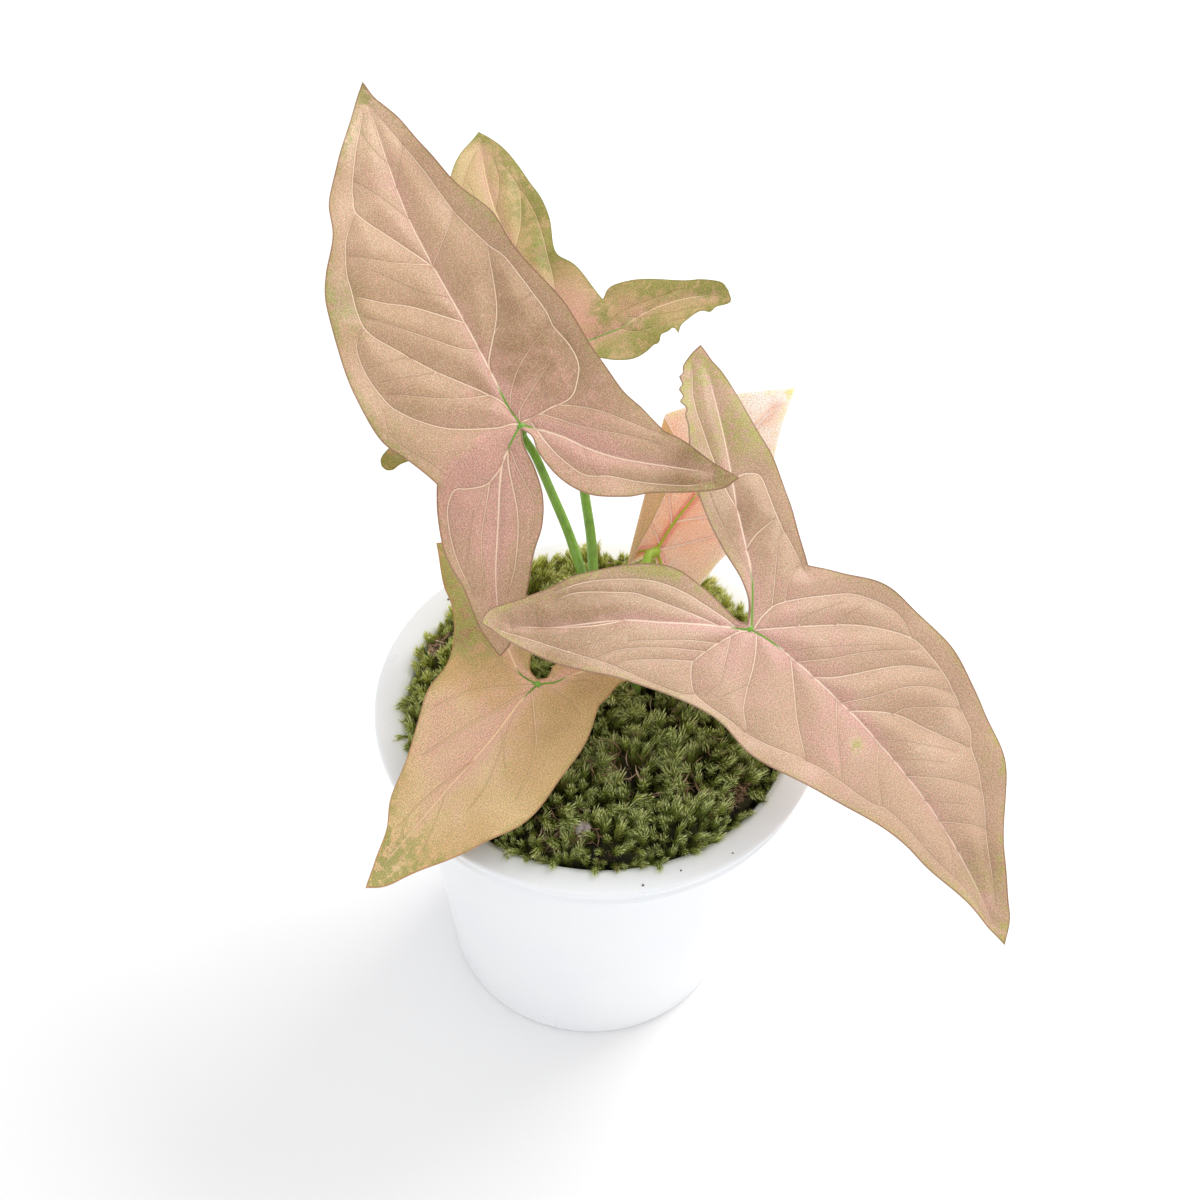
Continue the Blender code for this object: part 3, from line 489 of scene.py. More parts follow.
shoot_kinds = [shoot_shape(kind) for kind in range(SHOOT_KINDS)]
print("one shoot has", len(shoot_kinds[0][1]), "faces")

# %% [markdown]
# ### The stand of shoots
#
# Shoots stand on a grid that chance has shaken, about 2 mm apart. They grow up towards the light, and lean
# together in tufts with dark gaps between them, each tuft with a way of its own. Along the rim they spill
# outwards. Where the pattern called thin is high, shoots are shorter, and in a few bare patches many are
# missing and the humus shows.

# %% Place the shoots
SHOOT_SPACING = 2.15
SHOOT_LENGTH = (6.4, 9.4)
SHOOT_ROOT = 3.6
STALK_CLEARANCE = 2.2
ROOT_REACH = 52.9
EDGE_SHOOTS = 170
EDGE_RADIUS = 52.6
BARE_SHARE = 0.62
BARE_PATCHES = ((5.0, -30.0, 4.5), (41.0, -31.0, 4.0), (-11.0, -47.0, 4.0), (24.0, -33.0, 3.0),
                (-48.0, 16.0, 4.0), (26.0, -9.0, 3.0), (-3.0, -46.5, 2.6))
STALK_FEET = ((1.0, 6.0), (10.0, -1.0), (-11.5, -4.0), (-3.0, 15.0), (10.0, 12.0))


def waves(x, y, length, seed):
    """A smooth pattern from about -1 to 1, made of a few crossed waves."""
    draw = np.random.default_rng(seed)
    total = np.zeros_like(x)
    for _ in range(5):
        way, start = draw.uniform(0.0, 2.0 * math.pi, 2)
        reach = length * draw.uniform(0.7, 1.5)
        total += np.sin((x * math.cos(way) + y * math.sin(way)) * 2.0 * math.pi / reach + start)
    return total / 2.6


def shoot_spots():
    """Where the shoots stand: a shaken grid inside the pot's mouth, clear of the stalks."""
    spots = []
    for row, y in enumerate(np.arange(-MOSS_RADIUS - 1.0, MOSS_RADIUS + 1.0, SHOOT_SPACING * 0.87)):
        for x in np.arange(-MOSS_RADIUS - 1.0, MOSS_RADIUS + 1.0, SHOOT_SPACING):
            spots.append((x + (row % 2) * SHOOT_SPACING / 2.0, y))
    spots = np.array(spots) + chance.normal(0.0, 0.32, (len(spots), 2))
    turns = np.arange(EDGE_SHOOTS) * 2.0 * math.pi / EDGE_SHOOTS
    edge = EDGE_RADIUS * np.column_stack([np.cos(turns), np.sin(turns)])
    spots = np.vstack([spots, edge + chance.normal(0.0, 0.25, (EDGE_SHOOTS, 2))])
    keep = np.hypot(spots[:, 0], spots[:, 1]) < EDGE_RADIUS + 0.7
    for x, y in STALK_FEET:
        keep &= np.hypot(spots[:, 0] - x, spots[:, 1] - y) > STALK_CLEARANCE
    for x, y, radius in BARE_PATCHES:
        bare = np.hypot(spots[:, 0] - x, spots[:, 1] - y) < radius
        keep &= ~(bare & (chance.random(len(spots)) < BARE_SHARE))
    return spots[keep]


def shoot_ways(spots):
    """The direction in which each shoot points."""
    x, y = spots.T
    step = 0.5
    slope_x = (moss_top(x + step, y) - moss_top(x - step, y)) / (2.0 * step)
    slope_y = (moss_top(x, y + step) - moss_top(x, y - step)) / (2.0 * step)
    share = np.hypot(x, y) / MOSS_RADIUS
    spill = 0.22 + 0.22 * share ** 4
    sway = 0.62 - 0.3 * share ** 6
    way_x = -np.clip(slope_x, -1.2, 1.2) * spill + sway * waves(x, y, 15.0, 3) + 0.06
    way_y = -np.clip(slope_y, -1.2, 1.2) * spill + sway * waves(x, y, 17.0, 5) - 0.06
    shake = chance.normal(0.0, 0.16, (len(spots), 2))
    ways = np.column_stack([way_x + shake[:, 0], way_y + shake[:, 1], np.ones(len(spots))])
    return ways / np.linalg.norm(ways, axis=1)[:, None]


spots = shoot_spots()
ways = shoot_ways(spots)
print(len(spots), "shoots")

# %% Stand the shoots up
def stand_of_shoots(spots, ways, kinds, lengths, tints_and_painted_light):
    """Points, faces and facts of many shoots in one mesh."""
    all_points, all_faces, tones, hues = [], [], [], []
    count = 0
    for kind, (points, faces, tone) in enumerate(shoot_kinds):
        mine = np.flatnonzero(kinds == kind)
        up = ways[mine]
        side = np.cross(up, np.array([0.3, 1.0, 0.1]))
        side /= np.linalg.norm(side, axis=1)[:, None]
        other = np.cross(up, side)
        turn = np.stack([side, other, up], axis=1)
        inward = spots[mine] * np.minimum(1.0, ROOT_REACH / np.hypot(*spots[mine].T))[:, None]
        root = np.column_stack([inward, moss_top(*inward.T) - SHOOT_ROOT])
        placed = np.einsum("pk,nkc->npc", points, turn) * lengths[mine][:, None, None]
        all_points.append((placed + root[:, None, :]).reshape(-1, 3))
        shift = count + np.arange(len(mine)) * len(points)
        all_faces.append((faces[None] + shift[:, None, None]).reshape(-1, 3))
        tones.append(np.tile(tone, len(mine)))
        hues.append(np.repeat(tints_and_painted_light[mine], len(points)))
        count += len(mine) * len(points)
    return np.vstack(all_points), np.vstack(all_faces), np.concatenate(tones), np.concatenate(hues)


# %% [markdown]
# The moss finish goes from nearly black at the roots to grey green at the tips. The near-black roots are
# partly the shoots' own dark base and partly painted shade in the gaps between shoots, and the pale tips are
# partly their own fresh colour and partly painted highlight. Each shoot has a tint of its own, and wide
# patches are yellower. On the far side of this pot, the side that gets more light, the moss is painted
# lighter and almost straw green: painted light.

# %% Mix the moss's green
def leafy_moss():
    """Dark at the root, grey green to yellow green at the tip: partly the shoots' own colour, partly painted
    shade low down and painted highlight at the tips.
    """
    look = Finish("leafy_moss_green", 0.8, Specular_IOR_Level=0.16, Subsurface_Weight=0.06,
                  Subsurface_Scale=0.001, Subsurface_Radius=(0.6, 1.0, 0.3))
    place = look.place()
    tone, hue = look.fact("tone"), look.fact("hue")
    # The dark root colour is partly painted shade between the shoots, and the pale tip colour partly painted
    # highlight.
    dark_root_and_shade = look.mixed(hue, (0.042, 0.038, 0.009), (0.14, 0.13, 0.03))
    body = look.mixed(hue, (0.2, 0.255, 0.04), (0.58, 0.62, 0.12))
    tip = look.mixed(hue, (0.9, 0.96, 0.43), (0.98, 0.98, 0.52))
    colour = look.mixed(look.eased(tone, 0.15, 0.62), dark_root_and_shade, body)
    colour = look.mixed(look.eased(tone, 0.55, 0.92), colour, tip)
    brown = look.eased(look.noise(place, 190.0, 2.0), 0.6, 0.72)
    colour = look.mixed(look.maths("MULTIPLY", brown, 0.5), colour, (0.3, 0.18, 0.08))
    flicker = look.eased(look.noise(place, 1500.0, 1.0), 0.3, 0.7, 0.65, 1.25)
    return look.finished(look.scaled(colour, flicker))


def moss_tints_and_painted_light(spots):
    """How yellow and pale each shoot is, from 0 to 1: more on the far side, as painted light, more on the
    left, and in patches.
    """
    x, y = spots.T
    # The far side is made paler and yellower: painted light.
    far = np.clip((y - 5.0) / 40.0, 0.0, 1.0)
    left = np.clip((-x - 30.0) / 25.0, 0.0, 0.4)
    patch = 0.16 * waves(x, y, 15.0, 11)
    return np.clip(0.16 + 0.75 * far + left + patch + chance.normal(0.0, 0.12, len(x)), 0.0, 1.0)


STRIP_BORDERS = (-24.0, 0.0, 24.0)
green = leafy_moss()
kinds = chance.integers(0, SHOOT_KINDS, len(spots))
thin = np.clip(waves(*spots.T, 12.0, 21), 0.0, 1.0)
at_edge = np.clip((np.hypot(*spots.T) - 47.0) / 6.0, 0.0, 1.0)
lengths = chance.uniform(*SHOOT_LENGTH, len(spots)) * (1.0 - 0.22 * thin) * (1.0 - 0.2 * at_edge)
tints_and_painted_light = moss_tints_and_painted_light(spots)
strips = np.digitize(spots[:, 0], STRIP_BORDERS)
for strip, name in enumerate(("moss_shoots_a", "moss_shoots_b", "moss_shoots_c", "moss_shoots_d")):
    mine = strips == strip
    points, faces, tones, hues = stand_of_shoots(spots[mine], ways[mine], kinds[mine], lengths[mine],
                                                 tints_and_painted_light[mine])
    make_piece(name, points, faces.tolist(), [green], "moss", smooth=False,
               facts={"tone": tones, "hue": hues})

# %% [markdown]
# ### Bits in the moss
#
# Live moss catches dead fibres, old brown shoots and crumbs of bark. They gather where the moss is thin,
# so most are strewn near the bare patches and some anywhere. Each is a thin strip with three sides that
# bends in the middle.

# %% Strew the bits
BIT_COUNT = 560
BIT_SECTIONS = 5


def bit_shape(length, width, bend):
    """A bent strip with a three-sided section and pointed ends, lying along +X."""
    points = []
    for share in np.linspace(0.0, 1.0, BIT_SECTIONS):
        thick = width * (0.15 + 0.85 * math.sin(math.pi * share))
        centre = np.array([(share - 0.5) * length, bend * (share - 0.5) ** 2, 0.0])
        for corner in range(3):
            turn = corner * 2.0 * math.pi / 3.0
            points.append(centre + np.array([0.0, math.cos(turn), 0.55 * math.sin(turn)]) * thick / 2.0)
    faces = [(0, 2, 1)]
    for section in range(BIT_SECTIONS - 1):
        for corner in range(3):
            a, b = section * 3 + corner, section * 3 + (corner + 1) % 3
            faces.append((a, b, b + 3, a + 3))
    last = (BIT_SECTIONS - 1) * 3
    faces.append((last, last + 1, last + 2))
    return np.array(points), faces


def moss_bits():
    """All the bits in one mesh, with a number from 0 to 1 for each one's colour."""
    points, faces, hues = [], [], []
    count = 0
    for number in range(BIT_COUNT):
        x, y, radius = BARE_PATCHES[number % len(BARE_PATCHES)]
        if number % 3 == 0:
            reach, way = MOSS_RADIUS * math.sqrt(chance.random()) - 1.5, chance.uniform(0.0, 2.0 * math.pi)
            x, y, radius = reach * math.cos(way), reach * math.sin(way), 0.1
        spot = np.array([x, y]) + chance.normal(0.0, radius * 0.7 + 0.5, 2)
        spot *= min(1.0, (MOSS_RADIUS - 1.5) / np.hypot(*spot))
        shape, strip = bit_shape(chance.uniform(2.2, 6.0), chance.uniform(0.3, 0.75), chance.normal(0.0, 3.0))
        turn = Matrix.Rotation(chance.uniform(0.0, 2.0 * math.pi), 3, "Z")
        turn = turn @ Matrix.Rotation(chance.normal(0.0, 0.5), 3, "Y")
        height = float(moss_top(spot[:1], spot[1:])[0]) + chance.uniform(-0.6, 2.6)
        points.append(shape @ np.array(turn).T + np.array([*spot, height]))
        faces += [tuple(corner + count for corner in face) for face in strip]
        hues.append(np.full(len(shape), chance.random()))
        count += len(shape)
    return np.vstack(points), faces, np.concatenate(hues)


def dry_fibre():
    """Straw to dark brown, by the bit."""
    look = Finish("dry_fibre_brown", 0.8)
    hue = look.fact("hue")
    colour = look.mixed(look.eased(hue, 0.0, 0.6), (0.08, 0.045, 0.02), (0.34, 0.2, 0.11))
    colour = look.mixed(look.eased(hue, 0.65, 1.0), colour, (0.62, 0.44, 0.3))
    streaks = look.noise(look.place(), 900.0, 2.0)
    colour = look.mixed(look.eased(streaks, 0.45, 0.7, 0.0, 0.5), colour, (0.04, 0.024, 0.014))
    return look.finished(colour, None, look.bump(streaks, 0.4, 0.3))


bit_points, bit_faces, bit_hues = moss_bits()
make_piece("moss_dry_bits", bit_points, bit_faces, [dry_fibre()], "moss", smooth=False,
           facts={"hue": bit_hues})

# %% [markdown]
# ### Crumbs
#
# One little hollow stone lies on the moss near the front, and a few grains of soil have spilt on the
# collar. Each is a ball of few faces with a dent in it, given as its place, its radius and its paleness.

# %% Drop the crumbs
CRUMBS = ((-3.0, -46.6, 115.6, 2.3, 1.0), (14.0, -60.4, 110.0, 0.36, 0.2), (24.3, -55.0, 110.0, 0.3, 0.4),
          (38.5, -48.5, 109.9, 0.3, 0.2), (-46.0, 38.0, 110.0, 0.35, 0.3), (20.5, 58.0, 110.0, 0.3, 0.5),
          (33.0, -12.0, 117.0, 1.0, 0.2), (6.0, -31.0, 118.0, 1.2, 0.1), (-47.0, 17.0, 113.0, 1.3, 0.2))
CRUMB_SIDES = 9
CRUMB_RINGS = 6


def crumb_shape(radius):
    """A dented ball."""
    dent = np.array([0.1, -0.75, 0.65])
    points = [(0.0, 0.0, -1.0)]
    for ring in range(1, CRUMB_RINGS):
        down = math.pi * (1.0 - ring / CRUMB_RINGS)
        for side in range(CRUMB_SIDES):
            turn = side * 2.0 * math.pi / CRUMB_SIDES
            points.append((math.sin(down) * math.cos(turn), math.sin(down) * math.sin(turn), math.cos(down)))
    points = np.array(points + [(0.0, 0.0, 1.0)])
    hollow = np.clip((points @ dent - 0.72) / 0.25, 0.0, 1.0)
    points *= (radius * (1.0 - 0.5 * hollow) * chance.uniform(0.88, 1.1, len(points)))[:, None]
    return points, ring_faces(CRUMB_RINGS - 1, CRUMB_SIDES)


def crumb_grey():
    """Brown soil to pale grey stone, by the crumb."""
    look = Finish("crumb_stone_grey", 0.85)
    colour = look.mixed(look.fact("hue"), (0.06, 0.04, 0.025), (0.4, 0.34, 0.33))
    spots = look.noise(look.place(), 1100.0, 3.0)
    colour = look.mixed(look.eased(spots, 0.45, 0.65, 0.0, 0.7), colour, (0.12, 0.09, 0.08))
    return look.finished(colour, None, look.bump(spots, 0.5, 0.2))


points, faces, hues = [], [], []
for x, y, z, radius, paleness in CRUMBS:
    shape, sides = crumb_shape(radius)
    faces += [tuple(corner + sum(map(len, points)) for corner in face) for face in sides]
    points.append(shape + np.array([x, y, z]))
    hues.append(np.full(len(shape), paleness))
make_piece("moss_crumbs", np.vstack(points), faces, [crumb_grey()], "moss",
           facts={"hue": np.concatenate(hues)})

# %% [markdown]
# ## The leaves
#
# A real arrowhead leaf is a thin sheet, stiffened by a midrib and by one rib in each of its two back
# lobes. Finer veins leave the ribs, and a thin one runs along inside the margin and gathers them up.
# Between the veins the sheet swells a little, like a quilt.
#
# Each leaf is drawn flat, in millimetres: p runs from the stalk to the tip, and q to the leaf's left. The
# drawing is the imported model's own, with frayed edges on two lobes and with the veins drawn in full: the
# strong ones that arch from a rib to the margin, the medium ones, and the fine ones that only show close
# up. "droop" is how much the blade rises 100 mm out in each direction, and "wave" is the height, length and
# start of its ripples. "sap" is how far along each rib the green of the stalk runs. "light", "blush" and
# "green" list soft patches of colour as (p, q, radius, strength), where this one leaf is paler, pinker or
# greener than its neighbours. A minus in "light" makes a patch darker. The paler and darker patches are
# partly the leaf's own tone and partly painted light and shade: painted shade where another leaf lies behind
# a thin lobe or casts its shadow, or where a half of the blade faces away from the light, and painted light
# where a part faces it.

# %% Draw the upper leaf
LEAVES = {}
LEAVES["upper_leaf"] = {
    "junction": (-24.5, 28.5, 196.0), "heading": 120.0, "climb": 28.0, "roll": 10.0,
    "foot": (1.0, 6.0),
    "stalk": [(1.0, 6.0, 123.0), (-2.6, 11.0, 139.0), (-6.9, 15.2, 153.4), (-10.8, 18.7, 164.8),
              (-15.5, 22.2, 176.0), (-20.4, 25.8, 187.0)],
    "droop": [(0, -12.0), (75, 5.0), (140, -25.0), (170, -25.0), (220, 0.0), (285, 5.0)],
    "crease": [(0.4, 3.5), (1.0, 9.0), (-1.0, 14.0), (-3.5, 21.0), (-6.2, 26.0)],
    "fold": 0.08, "wave": (1.1, 27.0, 0.4), "puff": 1.5, "sap": (14.0, 4.5, 9.0), "relief": 1.0,
    "outline": [
        [(-1.5, 0.3), (-6.0, 1.5), (-13.0, 1.2), (-20.0, 1.8), (-27.0, 5.0), (-33.0, 10.0),
         (-40.0, 14.5), (-47.0, 19.5), (-52.5, 25.0), (-54.5, 29.0)],
        [(-54.5, 29.0), (-45.0, 31.0), (-35.0, 31.0), (-24.5, 32.0), (-14.0, 30.0), (-7.0, 27.5)],
        [(-7.0, 27.5), (1.5, 32.0), (10.0, 37.0), (23.0, 38.5), (37.0, 37.5), (50.0, 35.5),
         (58.5, 32.0), (68.0, 26.0), (78.0, 23.0), (88.0, 16.5), (98.0, 9.0), (106.0, 3.0),
         (110.0, -0.5)],
        [(110.0, -0.5), (104.0, -1.8), (95.0, -5.5), (84.0, -8.0), (72.0, -11.0), (59.5, -16.5),
         (48.5, -18.0), (36.0, -21.5), (23.5, -24.5), (9.5, -26.5), (-2.0, -28.5), (-9.0, -32.0),
         (-17.0, -35.0)],
        [(-17.0, -35.0), (-21.5, -38.5), (-28.0, -42.5), (-33.0, -46.0), (-36.5, -48.5)],
        [(-36.5, -48.5), (-37.5, -43.0), (-35.0, -34.5), (-31.0, -25.0), (-29.5, -18.0),
         (-25.5, -9.5), (-18.0, -4.0), (-9.5, -1.2), (-4.5, -1.4), (-1.5, 0.3)],
    ],
    "ribs": [
        [(0.0, 0.0), (7.5, 1.2), (17.0, 1.6), (33.5, 2.6), (52.0, 4.0), (68.0, 4.4), (86.0, 2.8),
         (103.0, 0.6)],
        [(0.0, 0.0), (-7.0, -8.5), (-13.5, -14.5), (-19.0, -21.0), (-25.0, -30.5), (-32.0, -42.0)],
        [(0.0, 0.0), (-6.0, 7.0), (-12.0, 11.0), (-21.5, 15.5), (-34.0, 21.5), (-47.0, 26.0)],
    ],
    "strong": [
        [(50.5, 4.0), (61.0, 10.5), (72.0, 17.0), (77.5, 16.0), (80.5, 15.0), (91.0, 9.5), (101.0, 3.0)],
        [(32.0, 2.6), (41.0, 13.5), (45.0, 20.5), (50.0, 27.5)],
        [(3.0, 0.5), (9.5, 3.5), (21.5, 15.0), (31.0, 22.5), (40.5, 28.5), (54.0, 27.0), (57.0, 26.5),
         (65.0, 23.5), (68.5, 21.0), (71.0, 19.0), (72.0, 17.0)],
        [(0.3, 0.5), (1.0, 2.5), (1.5, 6.5), (5.5, 17.5), (10.0, 24.0), (15.5, 29.5), (19.5, 31.5),
         (26.5, 33.0), (33.5, 33.0), (37.0, 32.0), (39.0, 30.5), (40.5, 28.5)],
        [(0.5, -1.0), (0.5, -2.5), (1.0, -10.0), (1.5, -15.5), (4.5, -18.5), (9.0, -21.0), (14.5, -21.0),
         (21.5, -19.0), (27.0, -18.6), (43.5, -15.5), (50.5, -12.0), (62.5, -8.0), (80.0, -4.6),
         (99.0, -0.6)],
        [(16.5, 1.6), (20.0, 0.5), (26.0, -3.5), (32.0, -7.0), (40.0, -9.5), (50.5, -12.0)],
        [(-1.0, -3.0), (-7.5, -4.4), (-13.0, -6.5), (-19.5, -10.5), (-22.5, -16.5), (-27.0, -23.5),
         (-33.0, -35.0), (-34.0, -41.0)],
        [(-7.0, 8.0), (-8.5, 9.5), (-11.0, 14.5), (-10.0, 20.0), (-9.0, 22.5), (-10.5, 25.0), (-15.0, 27.5),
         (-26.0, 29.5), (-37.0, 29.0)],
        [(-4.5, 5.5), (-10.0, 7.5), (-22.0, 10.0), (-32.5, 15.0), (-40.0, 20.5)],
    ],
    "medium": [
        [(51.0, 4.0), (55.0, 14.0), (61.5, 24.0)], [(23.5, 2.0), (25.5, 7.0), (32.5, 15.0), (43.0, 27.0)],
        [(10.5, 4.5), (13.0, 14.5), (20.5, 30.0)], [(50.5, 4.0), (56.0, -1.5), (62.5, -7.5)],
        [(5.5, 0.5), (9.5, -1.5), (15.0, -6.5), (20.5, -15.0), (21.5, -19.0)],
        [(1.5, -0.5), (4.5, -2.5), (13.0, -15.0)],
        [(1.0, -11.5), (-2.0, -16.5), (-7.0, -23.0), (-18.5, -35.0)],
        [(0.5, -3.0), (0.5, -6.0), (-2.0, -9.0), (-8.0, -16.0), (-15.0, -26.5), (-20.0, -32.5)],
        [(-11.0, 13.5), (-17.0, 17.4), (-25.0, 22.0), (-38.0, 26.5)],
        [(-5.5, 5.0), (-10.5, 5.2), (-19.0, 4.6), (-23.5, 6.0), (-29.0, 9.5)],
    ],
    "fine": [
        [(54.5, 20.0), (44.5, 10.5), (40.5, 4.0)], [(24.0, 30.5), (22.5, 22.0), (21.5, 15.0)],
        [(29.0, 32.0), (28.5, 22.5), (27.5, 19.5)], [(76.0, 3.8), (85.0, -1.5), (88.0, -3.0)],
        [(16.5, 33.0), (10.5, 34.0), (5.0, 31.5), (-0.5, 27.5), (-5.5, 24.5)],
        [(26.0, -3.5), (29.5, -10.0), (32.5, -17.5)], [(-12.5, 16.0), (-18.5, 22.0), (-27.5, 27.0)],
        [(-12.0, -13.0), (-16.0, -12.4), (-21.0, -13.5)], [(-23.5, -27.0), (-29.0, -29.0)],
        [(84.0, 3.2), (90.0, 5.5), (95.0, 6.0)], [(66.0, 4.4), (74.0, 9.0), (82.0, 13.5)],
    ],
    # Painted shade and light in these patches: the dark pair near (-33, -43) is painted shade where the right
    # leaf lies behind the thin lobe tip, the dark ones where q is below zero are painted shade on the half
    # that faces away from the light, partly with its browner tone, and the pale one at the tip is painted
    # light.
    "light": [(-34, -43, 9, -1.0), (6.7, -8.6, 12, -0.35), (50, 33, 9, -0.6),
              (98, 2, 16, 0.7), (22, -7, 15, -0.7), (8, -16, 14, -0.5), (48, -15, 12, -0.4),
              (-32, -42, 11, -1.2), (10, 22, 12, -0.2), (-19, 23, 8, 0.4), (70, 14, 14, 0.3)],
    "blush": [(0, 0, 22, 0.6), (-20, 20, 16, 0.7), (-14, -16, 14, 0.5), (75, 6, 18, 0.2)],
    "green": [(105.5, 0.5, 1.8, 1.6), (50, 34, 9, 0.4), (-33, -43, 8, 0.35),
              (96, 8, 10, 0.35), (45, 34, 12, 0.3), (60, -13, 10, 0.3), (10, 34, 12, 0.3),
              (109, 0, 3, 1.0)],
}

